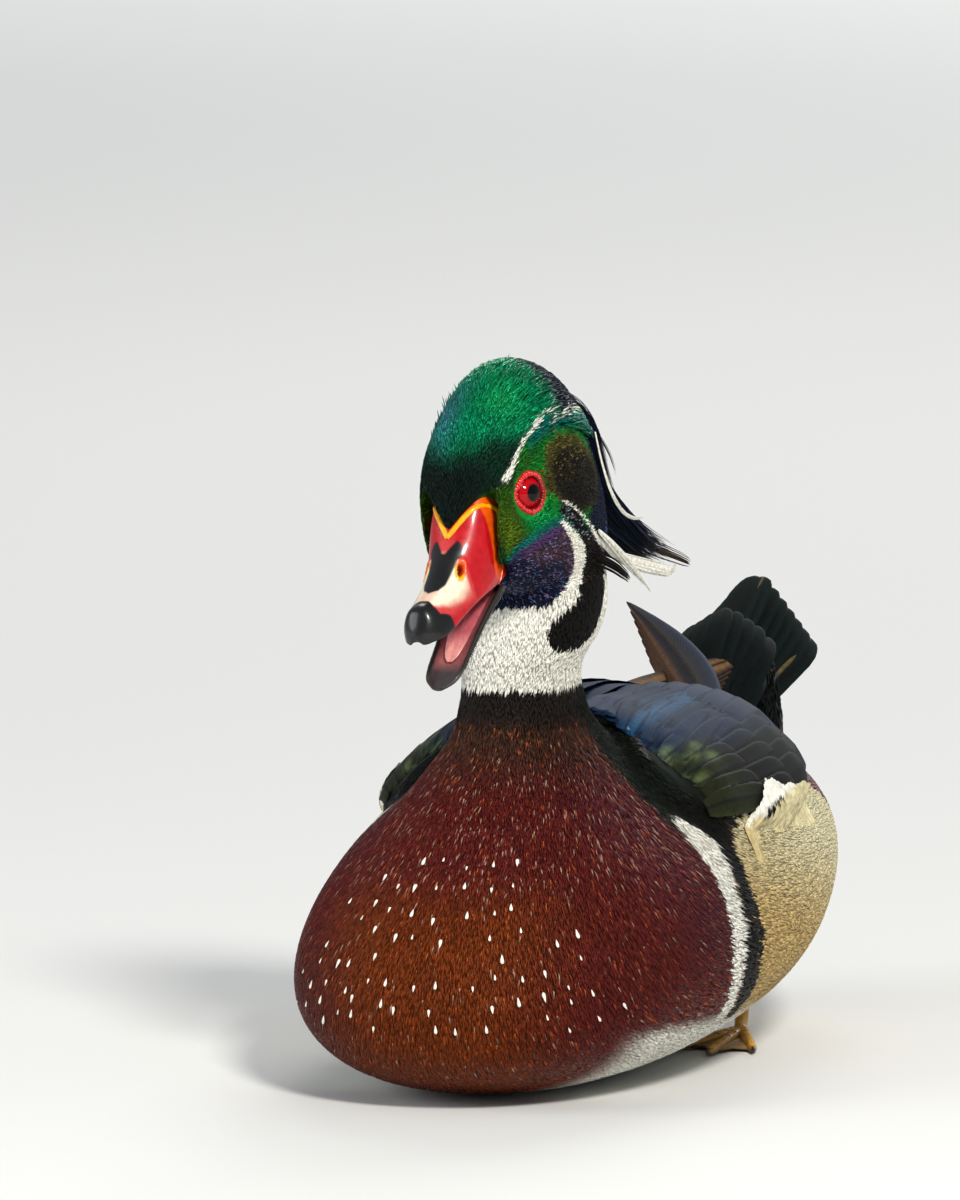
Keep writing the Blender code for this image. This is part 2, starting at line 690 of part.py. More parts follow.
def tail():
    """The rump and the cocked tail, a closed fan set like a roof, with its coverts above and below."""
    blades = []
    face = unit(np.array([0, -0.62, 0.78]))
    for k in range(TAIL_COUNT):
        out = k - (TAIL_COUNT - 1) / 2
        far = abs(out)
        level = far + 0.5 if far > 1 else 0.5 + out
        sink = -face * TAIL_LEVEL * level
        root = np.array((out * 1.9, TAIL_BASE[0], TAIL_BASE[1] + 6)) + sink
        tip = np.array((TAIL_ASIDE + out * 4.2, TAIL_TIP[0] - 2.0 * far, TAIL_TIP[1] - 3.6 * far)) + sink
        middle = np.array((out * 4.4, 187 - 0.9 * far, 116 - far * 1.8)) + sink
        blades.append(vane(bend(root, middle, tip), [(out * 0.12, -0.62, 0.78)] * 5, 13.0, 0.9, camber=0.05))
    for count, root_y, root_z, tip_y, tip_z in ((4, 150, 90, 182, 121), (3, 146, 86, 168, 110)):
        for k in range(count):
            out = k - (count - 1) / 2
            root = (out * 5, root_y, root_z - abs(out) * 3)
            tip = (out * 9, tip_y, tip_z - abs(out) * 4 + 1.3 * (k % 2))
            middle = (out * 8.5, (root_y + tip_y) / 2 - 5, (root_z + tip_z) / 2 + 5 - abs(out) * 3)
            blades.append(vane(bend(root, middle, tip, 4), [(out * 0.25, -0.6, 0.8)] * 4, 13.0, shape=COVERT))
    for k in range(4):
        out = k - 1.5
        root, tip = (out * 6, 154, 64 + abs(out)), (out * 7.5, 187, 92 + abs(out) * 2 - 1.3 * (k % 2))
        middle = (out * 8.5, 172, 72 + abs(out) * 2)
        blades.append(vane(bend(root, middle, tip, 4), [(out * 0.3, 0.7, -0.7)] * 4, 14.0, shape=COVERT))
    return fused("tail", lofted(rump_rings()), blades, finish="tail")


# A foot lies flat beside the belly with its toes to the front. Places are for the left one, in millimetres.
FOOT_HEEL = (45.0, 50.0)
TOES = ((60.0, 11.0), (48.0, 1.0), (36.0, 11.0))
HIND_TOE = (42.0, 58.0)
TOE_HALF, TOE_HIGH, HIND_HALF, HIND_HIGH = 2.2, 3.4, 1.8, 2.6
WEB_HIGH = 1.3
# Stations of a toe and its claw: place along the toe, and shares of its half width and height.
TOE_STATIONS = ((0, 1, 1), (0.35, 0.85, 0.9), (0.7, 0.8, 0.8), (0.92, 0.7, 0.7), (1.0, 0.35, 0.55), (1.1, 0.12, 0.2))
# The shank: y, z and half width.
SHANK = ((47, 1.9, 2.1), (54, 5, 2.4), (60, 10, 2.7), (64, 18, 3.2))


def toe_form(start, end, half, high):
    """A toe, flat where it lies on the floor and rounded above, with a short claw."""
    start, end = np.array(start), np.array(end)
    way = unit(end - start)
    side = np.array([way[1], -way[0]])
    rings = []
    for f, wide, tall in TOE_STATIONS:
        at = start + (end - start) * f
        profile = ((-1, 0), (-0.9, 0.6), (0, 1), (0.9, 0.6), (1, 0))
        rings.append([(*(at + side * half * wide * a), high * tall * b) for a, b in profile])
    return lofted(rings)


def web_form():
    """The web between the toes, as a flat plate that is scooped between their tips."""
    (x1, y1), (x2, y2), (x3, y3) = TOES
    edge = [FOOT_HEEL, (x1, y1 + 3), ((x1 + x2) / 2, (y1 + y2) / 2 + 6), (x2, y2 + 3),
            ((x2 + x3) / 2, (y2 + y3) / 2 + 6), (x3, y3 + 3)]
    count = len(edge)
    faces = [tuple(range(count)), tuple(range(2 * count - 1, count - 1, -1))]
    faces += [(i, (i + 1) % count, count + (i + 1) % count, count + i) for i in range(count)]
    return [(x, y, z) for z in (0, WEB_HIGH) for x, y in edge], faces


def shank_form():
    rings = []
    for y, z, half in SHANK:
        x = FOOT_HEEL[0] - (y - 47) * 0.25
        turns = [2 * math.pi * j / 8 for j in range(8)]
        rings.append([(x + half * math.cos(a), y, z + half * 0.85 * math.sin(a)) for a in turns])
    return lofted(rings)


def foot(name, side, cutter):
    """A webbed foot tucked beside the belly, with the short shank that goes up into the flank."""
    flip = Matrix.Diagonal((side, 1, 1, 1))
    pieces = [toe_form(FOOT_HEEL, toe, TOE_HALF, TOE_HIGH) for toe in TOES]
    pieces += [toe_form(FOOT_HEEL, HIND_TOE, HIND_HALF, HIND_HIGH), web_form(), shank_form()]
    base = solid(name, *pieces[0], flip, finish="foot")
    others = [solid(f"{name} piece", *p, flip, cutters, "foot") for p in pieces[1:]]
    return combined(combined(base, "UNION", others), "DIFFERENCE", [cutter])


def copy_of(cutter):
    """Another copy of a cutter, as each cut uses one up."""
    made = bpy.data.objects.new(cutter.name + " copy", cutter.data.copy())
    made.hide_render, made.display_type = True, "WIRE"
    cutters.objects.link(made)
    return made


# The dimple of each nostril: forward, left and up, on the head's axes.
NOSTRIL = (34.0, 5.2, -8.9)
# The nail, an egg at the bill's tip: forward and up, and its three half sizes.
NAIL, NAIL_SIZE = (54.5, -18.6), (3.6, 4.6, 2.6)

for old in list(bpy.data.objects):
    bpy.data.objects.remove(old, do_unlink=True)
parts = bpy.data.collections.new("wood duck")
cutters = bpy.data.collections.new("cutters")
for group in (parts, cutters):
    bpy.context.scene.collection.children.link(group)

# The trunk comes first, as the wings are laid on it.
trunk = torso()
trunk_cutter = grown(trunk)
TRUNK = BVHTree.FromPolygons([v.co for v in trunk.data.vertices], [p.vertices for p in trunk.data.polygons])

# The head is cut for the bill and the eyes before its plumes are joined on, and the neck is cut by it in between.
head = skull()
hollows = [ball("hollow", HOLLOW_RADIUS, eye_place(side, HOLLOW_OUT), 24, collection=cutters) for side in (-1, 1)]
head = combined(head, "DIFFERENCE", [face_cut()] + hollows)
throat = combined(neck(), "DIFFERENCE", [grown(head, COLLAR_GAP)])
head = combined(head, "UNION", [solid("plume", *blade, HEAD, cutters, "head") for blade in crest()]
                + [solid("lid", points, faces, place, cutters, "bill")
                   for points, faces, place in (ring_round_eye(side) for side in (-1, 1))])
eyes = [ball(name, EYE_RADIUS, eye_place(side)) for name, side in (("eye_left", 1), ("eye_right", -1))]
head = combined(head, "DIFFERENCE", [grown(eye) for eye in eyes] + [grown(throat, GAP)])
head_cutter = grown(head)

upper = solid("bill_upper", *upper_bill_form(), HEAD, finish="bill")
nail = ball("nail", 1, HEAD @ Matrix.Translation((0, -NAIL[0], NAIL[1])), 10, "bill_dark", NAIL_SIZE, cutters)
upper = combined(upper, "UNION", [nail])
pits = []
for side in (-1, 1):
    place = HEAD @ Matrix.Translation((side * NOSTRIL[1], -NOSTRIL[0], NOSTRIL[2]))
    place = place @ Matrix.Rotation(side * math.radians(40), 4, "Y")
    pits.append(ball("nostril", 1, place, 10, "bill_dark", (1.2, 2.6, 2.4), cutters))
upper = combined(upper, "DIFFERENCE", [copy_of(head_cutter)] + pits)
lower = solid("bill_lower", *lower_bill_form(), opened(), finish="bill_dark")
lower = combined(lower, "DIFFERENCE", [copy_of(head_cutter), grown(upper)])
tongue = solid("tongue", *tongue_form(), opened(), finish="tongue")
tongue = combined(tongue, "DIFFERENCE", [copy_of(head_cutter), grown(upper, GAP), grown(lower, GAP)])
throat = combined(throat, "DIFFERENCE", [grown(lower, GAP)])

# The right wing lies under the left one, and the tail under both.
laid = []
for name, side in (("wing_left", 1), ("wing_right", -1)):
    around = [copy_of(trunk_cutter), grown(throat, GAP)] + [grown(other, GAP) for other in laid]
    laid.append(combined(wing(name, side), "DIFFERENCE", around))
combined(tail(), "DIFFERENCE", [copy_of(trunk_cutter)] + [grown(other, GAP) for other in laid])

for name, side in (("foot_left", 1), ("foot_right", -1)):
    foot(name, side, copy_of(trunk_cutter))
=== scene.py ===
# %% [markdown]
# # A drake wood duck, feather by feather
#
# The real thing is a small, very bright duck afloat with its bill half open and its head turned a little.
# It is shown as a museum shows one: life-size, still, resting on its belly. The frame that is loaded here
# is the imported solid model. It is in metres, it looks along -Y and its own left is +X. Everything below is
# measured in millimetres on the same axes and turned into metres only when a mesh is made.

# %% Load the solid model and keep its box
import math

import bmesh
import bpy
import numpy as np
from mathutils import Matrix, Vector
from mathutils.bvhtree import BVHTree


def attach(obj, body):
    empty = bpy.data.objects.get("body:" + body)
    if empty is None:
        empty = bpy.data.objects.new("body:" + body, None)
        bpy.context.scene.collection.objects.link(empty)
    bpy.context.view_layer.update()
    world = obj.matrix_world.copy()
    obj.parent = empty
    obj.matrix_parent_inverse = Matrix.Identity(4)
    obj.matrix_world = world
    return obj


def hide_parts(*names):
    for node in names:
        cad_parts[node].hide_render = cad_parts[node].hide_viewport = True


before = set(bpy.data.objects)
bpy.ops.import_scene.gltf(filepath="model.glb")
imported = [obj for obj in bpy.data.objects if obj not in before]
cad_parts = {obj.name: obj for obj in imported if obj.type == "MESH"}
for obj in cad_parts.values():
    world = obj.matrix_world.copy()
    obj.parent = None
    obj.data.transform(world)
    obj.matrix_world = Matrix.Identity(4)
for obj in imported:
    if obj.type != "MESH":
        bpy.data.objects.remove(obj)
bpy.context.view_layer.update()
MM = 0.001
print("nodes", sorted(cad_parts))

# %% [markdown]
# ## The viewpoint
#
# The photograph was taken from far off with a long lens, a little above the duck and a little to its left.
# A camera has a place, a direction and a lens. They could be found by trial, but three numbers from the
# picture are enough: how many pixels a millimetre takes, the pixel where the middle of the belly falls, and
# the distance.

# %% Set up the camera
PICTURE = (960, 1200)
PIXELS_PER_MM = 3.1
BELLY_PIXEL = (565, 1050)
DISTANCE = 7000.0
AZIMUTH, ELEVATION = math.radians(17), math.radians(7)

back = Vector((math.sin(AZIMUTH) * math.cos(ELEVATION), -math.cos(AZIMUTH) * math.cos(ELEVATION),
               math.sin(ELEVATION)))
right = Vector((math.cos(AZIMUTH), math.sin(AZIMUTH), 0))
above = back.cross(right)
aside = (PICTURE[0] / 2 - BELLY_PIXEL[0]) / PIXELS_PER_MM
higher = (BELLY_PIXEL[1] - PICTURE[1] / 2) / PIXELS_PER_MM

lens = bpy.data.cameras.new("long lens")
lens.sensor_width = 36.0
lens.lens = lens.sensor_width * DISTANCE / (PICTURE[1] / PIXELS_PER_MM)
lens.clip_start, lens.clip_end = 0.5, 200.0
camera = bpy.data.objects.new("camera", lens)
camera.location = (right * aside + above * higher + back * DISTANCE) * MM
camera.rotation_mode = "QUATERNION"
camera.rotation_quaternion = (-back).to_track_quat("-Z", "Y")
bpy.context.scene.collection.objects.link(camera)
bpy.context.scene.camera = camera
print("lens", round(lens.lens), "mm from", round(DISTANCE / 1000, 1), "m")

# %% [markdown]
# ## Floor and light
#
# The sun in the photograph comes from high on the right, behind the photographer. In the studio soft area
# lamps do the same work: a key from there, a weaker fill from the other side, and a faint rim from behind
# that draws the outline of the crest and tail. A last lamp far behind keeps the floor pale at the top of
# the picture. A bare pale floor and an even pale world stand for the room.

# %% Make the floor, the world and the lamps
def plain_material(name, colour, roughness):
    made = bpy.data.materials.new(name)
    made.use_nodes = True
    shader = made.node_tree.nodes["Principled BSDF"]
    shader.inputs["Base Color"].default_value = (*colour, 1)
    shader.inputs["Roughness"].default_value = roughness
    return made


FLOOR_HALF, FLOOR_DROP = 60.0, 0.0004


def floor_sheet(half):
    mesh = bpy.data.meshes.new("floor")
    corners = [(-half, -half, 0), (half, -half, 0), (half, half, 0), (-half, half, 0)]
    mesh.from_pydata(corners, [], [(0, 1, 2, 3)])
    made = bpy.data.objects.new("floor", mesh)
    bpy.context.scene.collection.objects.link(made)
    return made


floor = floor_sheet(FLOOR_HALF)
floor.data.materials.append(plain_material("pale floor", (0.72, 0.72, 0.70), 0.8))
floor.location.z = -FLOOR_DROP

world = bpy.data.worlds.new("pale room")
world.use_nodes = True
sky = world.node_tree.nodes["Background"]
sky.inputs["Color"].default_value = (0.80, 0.84, 0.88, 1)
sky.inputs["Strength"].default_value = 0.40
bpy.context.scene.world = world
bpy.context.scene.view_settings.view_transform = "Standard"


def lamp(name, place, size, power, colour, aim=(0, -0.03, 0.1)):
    data = bpy.data.lights.new(name, "AREA")
    data.shape = "DISK"
    data.size, data.energy, data.color = size, power, colour
    made = bpy.data.objects.new(name, data)
    made.location = place
    made.rotation_mode = "QUATERNION"
    made.rotation_quaternion = (Vector(aim) - Vector(place)).to_track_quat("-Z", "Y")
    made.visible_camera = False
    bpy.context.scene.collection.objects.link(made)


lamp("key", (1.25, -1.6, 1.7), 0.5, 66, (1.0, 0.97, 0.92))
lamp("fill", (-1.9, -1.2, 0.9), 1.4, 22, (0.92, 0.96, 1.0))
lamp("rim", (-0.6, 2.0, 1.6), 0.9, 10, (1.0, 0.98, 0.95))
lamp("background", (0.0, 7.0, 3.0), 3.0, 300, (1.0, 1.0, 1.0), aim=(0, 6.5, 0))

# %% [markdown]
# ## Small tools
#
# A duck's form is smooth, so it is drawn through a few measured sections. Each tool below works on whole
# arrays of numbers at once, which keeps tens of thousands of feathers quick to make. A section is a circle
# pushed out a little towards a square, which is how a bird's body fills its outline.

# %% Smooth curves and sections
def between(rows, at):
    """The smooth curve through rows of numbers, at places counted in rows."""
    rows = np.asarray(rows, float)
    at = np.clip(np.asarray(at, float), 0, len(rows) - 1)
    i = np.clip(np.floor(at).astype(int), 0, len(rows) - 2)
    f = (at - i)[..., None]
    a, b = rows[np.maximum(i - 1, 0)], rows[i]
    c, d = rows[i + 1], rows[np.minimum(i + 2, len(rows) - 1)]
    bent = (2 * a - 5 * b + 4 * c - d) * f ** 2 + (3 * b - a - 3 * c + d) * f ** 3
    return 0.5 * (2 * b + (c - a) * f + bent)


def swell(value, fullness):
    """A sine or cosine pushed out towards a square as fullness passes 2."""
    return np.sign(value) * np.abs(value) ** (2 / fullness)


def unit(v):
    v = np.asarray(v, float)
    return v / np.maximum(np.linalg.norm(v, axis=-1, keepdims=True), 1e-9)


def soft(start, end, value):
    """0 before start and 1 after end, with an easy run between them."""
    t = np.clip((np.asarray(value, float) - start) / (end - start), 0, 1)
    return t * t * (3 - 2 * t)


def turns(count):
    """Angles once round, evenly spaced."""
    return np.linspace(0, 2 * math.pi, count, endpoint=False)


def bow(root, middle, tip, t):
    """A bent path from root to tip that is drawn towards middle."""
    return root * (1 - t) ** 2 + middle * 2 * t * (1 - t) + tip * t ** 2


def moved(points, matrix):
    m = np.array(matrix)
    return np.asarray(points, float) @ m[:3, :3].T + m[:3, 3]


print("half way between 2 and 4 is", between([[2], [4]], 0.5)[0])

# %% Meshes straight from arrays
def mesh_of(name, points, corners, finish):
    """A mesh from points in millimetres and rows of triangles or of quads."""
    corners = np.asarray(corners, np.int32)
    mesh = bpy.data.meshes.new(name)
    mesh.vertices.add(len(points))
    mesh.vertices.foreach_set("co", (np.asarray(points, float) * MM).astype(np.float32).ravel())
    mesh.loops.add(corners.size)
    mesh.loops.foreach_set("vertex_index", corners.ravel())
    mesh.polygons.add(len(corners))
    mesh.polygons.foreach_set("loop_start", np.arange(0, corners.size, corners.shape[1], dtype=np.int32))
    mesh.update(calc_edges=True)
    mesh.validate()
    mesh.shade_smooth()
    mesh.materials.append(finish)
    return mesh


def add_colour(mesh, values):
    """Keeps a colour and a gloss for each point, as red, green, blue and gloss."""
    layer = mesh.attributes.new("coat", "FLOAT_COLOR", "POINT")
    packed = np.ones((len(values), 4), np.float32)
    packed[:, :3] = np.clip(values[:, :3], 0, 1)
    layer.data.foreach_set("color", packed.ravel())
    layer = mesh.attributes.new("gloss", "FLOAT", "POINT")
    layer.data.foreach_set("value", np.clip(values[:, 3], 0, 1).astype(np.float32))


def add_map(mesh, name, places):
    """A UV map from one place for each point."""
    layer = mesh.uv_layers.new(name=name)
    corner = np.empty(len(mesh.loops), np.int32)
    mesh.loops.foreach_get("vertex_index", corner)
    layer.data.foreach_set("uv", np.asarray(places, np.float32)[corner].ravel())


def piece(name, mesh, slot, *nodes):
    """Puts a finished mesh in the scene, on the body that it rides on."""
    made = bpy.data.objects.new(name, mesh)
    bpy.context.scene.collection.objects.link(made)
    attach(made, "root")
    if nodes:
        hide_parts(*nodes)
    faces = sum(len(p.vertices) - 2 for p in mesh.polygons)
    print(f"{name}: {faces} triangles")
    return made


# %% [markdown]
# ## The forms of the body and the head
#
# These are the same sections that the solid model was lofted through, so the feathers land where the solids
# say. The body's sections fan from the throat over the breast and belly to the cocked tail. The head has
# its own axes, because it is turned, dipped and tilted on the neck.

# %% Sections of the body
# Low point (y, z), high point (y, z), half width, how far up the widest place is, and how far it lies to
# the left.
BODY = np.array((
    (-62, 170, -30, 180, 17.0, 0.50, 5.0),
    (-72, 151, -23, 161, 24.0, 0.50, 3.5),
    (-75, 138, -21, 148, 24.0, 0.50, 2.0),
    (-75, 125, -25, 134, 19.3, 0.50, 0.5),
    (-83, 108, -14, 117, 21.0, 0.50, 0.0),
    (-101, 92, 0, 108, 29.0, 0.48, 0.0),
    (-123, 74, 16, 104, 38.0, 0.46, 0.0),
    (-142, 54, 32, 102, 49.0, 0.45, 0.0),
    (-152, 34, 50, 101, 60.0, 0.44, 0.0),
    (-147, 14, 68, 100, 68.5, 0.44, 0.0),
    (-120, 2, 86, 98, 75.0, 0.45, 0.0),
    (-76, -2.5, 102, 95, 77.0, 0.46, 0.0),
    (-20, -2.5, 116, 93, 75.0, 0.48, 0.0),
    (36, -1.5, 129, 91, 66.5, 0.50, 0.0),
    (84, 8, 139, 88, 55.0, 0.50, 0.0),
    (118, 26, 147, 86, 43.0, 0.50, 0.0),
    (140, 45, 155, 83, 33.0, 0.50, 0.0),
    (151, 58, 163, 92, 29.0, 0.52, 0.0),
    (163, 73, 172, 101, 25.0, 0.54, 0.0),
    (175, 88, 181, 109, 20.0, 0.56, 0.0),
    (187, 101, 191, 116, 14.0, 0.58, 0.0),
), float)
BODY_FULLNESS = 2.15
NECK_FOOT = 4.6


def body_at(at, turn):
    """Places on the body: at counts down the sections, turn is the angle from the middle of the back."""
    row = between(BODY, at)
    rise = swell(np.cos(turn), BODY_FULLNESS)
    share = row[..., 5]
    along = np.where(rise > 0, share + (1 - share) * rise, share * (1 + rise))
    x = row[..., 6] + row[..., 4] * swell(np.sin(turn), BODY_FULLNESS)
    y = row[..., 0] + (row[..., 2] - row[..., 0]) * along
    z = row[..., 1] + (row[..., 3] - row[..., 1]) * along
    return np.stack([x, y, np.maximum(z, 0.0)], -1)


# %% Sections of the head
# Forward, top, underside, half width, how far up the widest place is, and fullness.
SKULL = np.array((
    (28, -3, -15, 5.0, 0.45, 2.1),
    (24, 6, -20, 9.5, 0.42, 2.2),
    (18, 16.5, -24, 14.6, 0.37, 2.4),
    (10, 25, -28, 17.8, 0.36, 2.5),
    (0, 31, -33, 18.8, 0.37, 2.5),
    (-10, 34, -38, 19.4, 0.39, 2.4),
    (-20, 35, -43, 19.8, 0.42, 2.3),
    (-30, 33.5, -47, 19.6, 0.43, 2.2),
    (-39, 28.5, -49, 18.2, 0.45, 2.2),
    (-47, 20, -46, 15.2, 0.46, 2.1),
    (-53, 9, -38, 9.5, 0.48, 2.1),
), float)
HEAD = (Matrix.Translation((-0.8, -86.0, 189.0)) @ Matrix.Rotation(math.radians(-11.3), 4, "Z")
        @ Matrix.Rotation(math.radians(16.5), 4, "X") @ Matrix.Rotation(math.radians(-5.0), 4, "Y"))
HEAD_BACK = HEAD.inverted()


def skull_local(at, turn):
    """Places on the head, on the head's own axes."""
    row = between(SKULL, at)
    rise = swell(np.cos(turn), row[..., 5])
    share = row[..., 4]
    along = np.where(rise > 0, share + (1 - share) * rise, share * (1 + rise))
    z = row[..., 2] + (row[..., 1] - row[..., 2]) * along
    return np.stack([row[..., 3] * swell(np.sin(turn), row[..., 5]), -row[..., 0], z], -1)


def skull_at(at, turn):
    return moved(skull_local(at, turn), HEAD)


print("body sections", len(BODY), "head sections", len(SKULL))

# %% [markdown]
# ## One skin under the feathers
#
# On the bird a single skin runs from the bill to the tail. It could be modelled as separate tubes, but
# their seams would show wherever the feathers part. Here the lofted head, body and folded wings are thrown
# together, a voxel remesh melts them into one closed surface, and a smoothing rounds the joins. The skin
# then sinks by the depth of the coat, so that the feathers come back up to the true outline.

# %% Loft the pieces of the skin
def loft_mesh(surface, last, steps, around):
    """A closed tube over a surface given by its place along and its turn about."""
    return closed_rings(surface(*np.meshgrid(np.linspace(0, last, steps), turns(around), indexing="ij")))


def closed_rings(rings):
    """Points and triangles of a closed skin over rings with the same number of points."""
    count, around = rings.shape[:2]
    i, j = np.meshgrid(np.arange(count - 1), np.arange(around), indexing="ij")
    a, b = i * around + j, i * around + (j + 1) % around
    c, d = b + around, a + around
    walls = np.concatenate([np.stack([a, b, c], -1).reshape(-1, 3), np.stack([a, c, d], -1).reshape(-1, 3)])
    points = np.concatenate([rings.reshape(-1, 3), rings[0].mean(0)[None], rings[-1].mean(0)[None]])
    j = np.arange(around)
    base, first = (count - 1) * around, count * around
    near = np.stack([np.full(around, first), (j + 1) % around, j], -1)
    far = np.stack([np.full(around, first + 1), base + j, base + (j + 1) % around], -1)
    return points, np.concatenate([walls, near, far])


def outward(mesh):
    """Turns all faces of closed shells to look outwards."""
    work = bmesh.new()
    work.from_mesh(mesh)
    bmesh.ops.recalc_face_normals(work, faces=work.faces)
    work.to_mesh(mesh)
    work.free()
    return mesh


def loose(name, mesh):
    made = bpy.data.objects.new(name, mesh)
    bpy.context.scene.collection.objects.link(made)
    return made


def baked(source, name):
    """The mesh that an object's modifiers make, with the object removed."""
    graph = bpy.context.evaluated_depsgraph_get()
    mesh = bpy.data.meshes.new_from_object(source.evaluated_get(graph))
    mesh.name = name
    source.modifiers.clear()
    bpy.data.objects.remove(source)
    return mesh


bare = plain_material("bare form", (0.3, 0.25, 0.2), 0.6)
body_form = outward(mesh_of("body form", *loft_mesh(body_at, len(BODY) - 1, 150, 96), bare))
head_form = outward(mesh_of("head form", *loft_mesh(skull_at, len(SKULL) - 1, 90, 96), bare))
TRUNK_END = 16
trunk, faces = loft_mesh(lambda at, turn: body_at(NECK_FOOT + at, turn), TRUNK_END - NECK_FOOT, 90, 72)
TRUNK = BVHTree.FromPolygons(trunk.tolist(), faces.tolist())
print("lofts", len(body_form.vertices), len(head_form.vertices))

# %% [markdown]
# ## Where the folded wings lie
#
# A folded wing hugs the back, so a place on it is given by how far back it is and by an angle turned down
# from straight up, about a line inside the body. A ray cast from there finds the back's surface, and the
# wing lies a little above it. The same numbers shaped the solid wings.

# %% Places on the wings
SPINE_Z = 52.0
WING_Y = (-26, 132)
WING_LOW = np.array(((-26, 54), (-10, 66), (25, 72), (65, 66), (95, 54), (120, 36), (132, 22)), float)
WING_HIGH = np.array(((-26, 34), (-12, 20), (12, 5), (132, 5)), float)
WING_THICK = 9.0


def trunk_reach(y, angle):
    away = Vector((math.sin(angle), 0, math.cos(angle)))
    origin = Vector((0, min(y, 138.0), SPINE_Z))
    hit = TRUNK.ray_cast(origin + away * 300, -away)[0]
    return (hit - origin).length if hit else 30.0


def wing_edges(y):
    """The angles of the wing's lower and upper edge."""
    return np.interp(y, *WING_LOW.T), np.interp(y, *WING_HIGH.T)


def wing_depth(y, degrees):
    """How thick the arm and the feather roots are there."""
    low, high = wing_edges(y)
    u = np.clip((y - WING_Y[0]) / (WING_Y[1] - WING_Y[0]), 0, 1)
    v = np.clip((degrees - high) / (low - high), 0, 1)
    swelling = math.sin(math.pi * (0.12 + 0.76 * u)) ** 0.7
    return 1.2 + (WING_THICK - 1.2) * swelling * math.sin(math.pi * (0.18 + 0.72 * v)) ** 0.8


def wing_point(side, y, degrees, lift, over_core=True):
    angle = math.radians(degrees)
    reach = trunk_reach(y, angle) + lift + (wing_depth(y, degrees) if over_core else 0)
    return np.array([side * reach * math.sin(angle), y, SPINE_Z + reach * math.cos(angle)])


def wing_form(side, along=44, across=24):
    """The arm under the feathers, as one low closed cushion."""
    rings = []
    for y in np.linspace(*WING_Y, along):
        low, high = wing_edges(y)
        angles = np.linspace(high, low, across)
        over = [wing_point(side, y, a, 0) for a in angles]
        under = [wing_point(side, y, a, -5.0, over_core=False) for a in angles[::-1]]
        rings.append(over + under)
    return closed_rings(np.array(rings))


wing_forms = [outward(mesh_of("wing form", *wing_form(side), bare)) for side in (1, -1)]
print("wing cushions", [len(m.vertices) for m in wing_forms])

# %% [markdown]
# ## Cutting the face and melting the forms together
#
# The feathers of the face stop along a line that runs from each corner by the eye to a point on the ridge
# of the bill. Seen down the slope of the bill it is a plain outline, so a prism of that outline cuts the
# bill's room out of the head. Each eye also lies in a shallow dish, which is pressed in after the remesh.

# %% Cut the bill's room out of the head
FACE_VIEW = Matrix.Rotation(math.radians(48), 4, "X")
FACE_EDGE = ((0, -19.5), (10.4, -3.6), (12.4, -1.5), (13.2, -5.5), (11.2, -32.0), (11.2, -80))
FACE_OUTLINE = [*FACE_EDGE, *[(-x, y) for x, y in reversed(FACE_EDGE[1:])]]


def face_prism():
    count = len(FACE_OUTLINE)
    points = moved([(x, y, z) for z in (-3.0, 80.0) for x, y in FACE_OUTLINE], HEAD @ FACE_VIEW) * MM
    faces = [tuple(range(count)), tuple(range(2 * count - 1, count - 1, -1))]
    faces += [(i, (i + 1) % count, count + (i + 1) % count, count + i) for i in range(count)]
    mesh = bpy.data.meshes.new("face prism")
    mesh.from_pydata(points.tolist(), [], faces)
    return outward(mesh)


head_object = loose("head form", head_form)
prism_object = loose("face prism", face_prism())
cut = head_object.modifiers.new("cut", "BOOLEAN")
cut.operation, cut.solver, cut.object = "DIFFERENCE", "EXACT", prism_object
head_form = baked(head_object, "head form")
bpy.data.objects.remove(prism_object)
print("cut head", len(head_form.vertices))

# %% Melt everything into one skin
def joined(meshes, finish=None):
    """One mesh from many, with one finish."""
    work = bmesh.new()
    for mesh in meshes:
        work.from_mesh(mesh)
    made = bpy.data.meshes.new("joined")
    work.to_mesh(made)
    work.free()
    if finish:
        made.materials.append(finish)
        made.shade_smooth()
    return made


EYE_RADIUS = 6.2
EYE_FORWARD, EYE_SIDE, EYE_UP = -3.8, 11.3, 0.0
EYE_TURN = math.radians(14.0)
HOLLOW_RADIUS, HOLLOW_DEPTH = 22.0, 1.9
VOXEL = 1.5


def eye_place(side, out=0.0):
    """The axes of an eye: X to the front, Y up and Z out of the head."""
    at = Vector((side * EYE_SIDE, -EYE_FORWARD, EYE_UP))
    z = Vector((side * math.cos(EYE_TURN), -math.sin(EYE_TURN), 0.06)).normalized()
    front = Vector((0, -1, 0))
    x = (front - z * front.dot(z)).normalized()
    y = z.cross(x)
    axes = Matrix(((x.x, y.x, z.x, 0), (x.y, y.y, z.y, 0), (x.z, y.z, z.z, 0), (0, 0, 0, 1)))
    return HEAD @ Matrix.Translation(at + z * out) @ axes


skin_object = loose("skin", joined([body_form, head_form, *wing_forms]))
melt = skin_object.modifiers.new("melt", "REMESH")
melt.mode, melt.voxel_size, melt.use_smooth_shade = "VOXEL", VOXEL * MM, True
ease = skin_object.modifiers.new("ease", "SMOOTH")
ease.factor, ease.iterations = 0.5, 6
skin_mesh = baked(skin_object, "skin")
print("skin points", len(skin_mesh.vertices))

# %% Sink the skin under the coat and press in the eyes
def points_of(mesh):
    found = np.empty(len(mesh.vertices) * 3, np.float32)
    mesh.vertices.foreach_get("co", found)
    return found.reshape(-1, 3).astype(float) / MM


def normals_of(mesh):
    found = np.empty(len(mesh.vertices) * 3, np.float32)
    mesh.vertex_normals.foreach_get("vector", found)
    return found.reshape(-1, 3).astype(float)


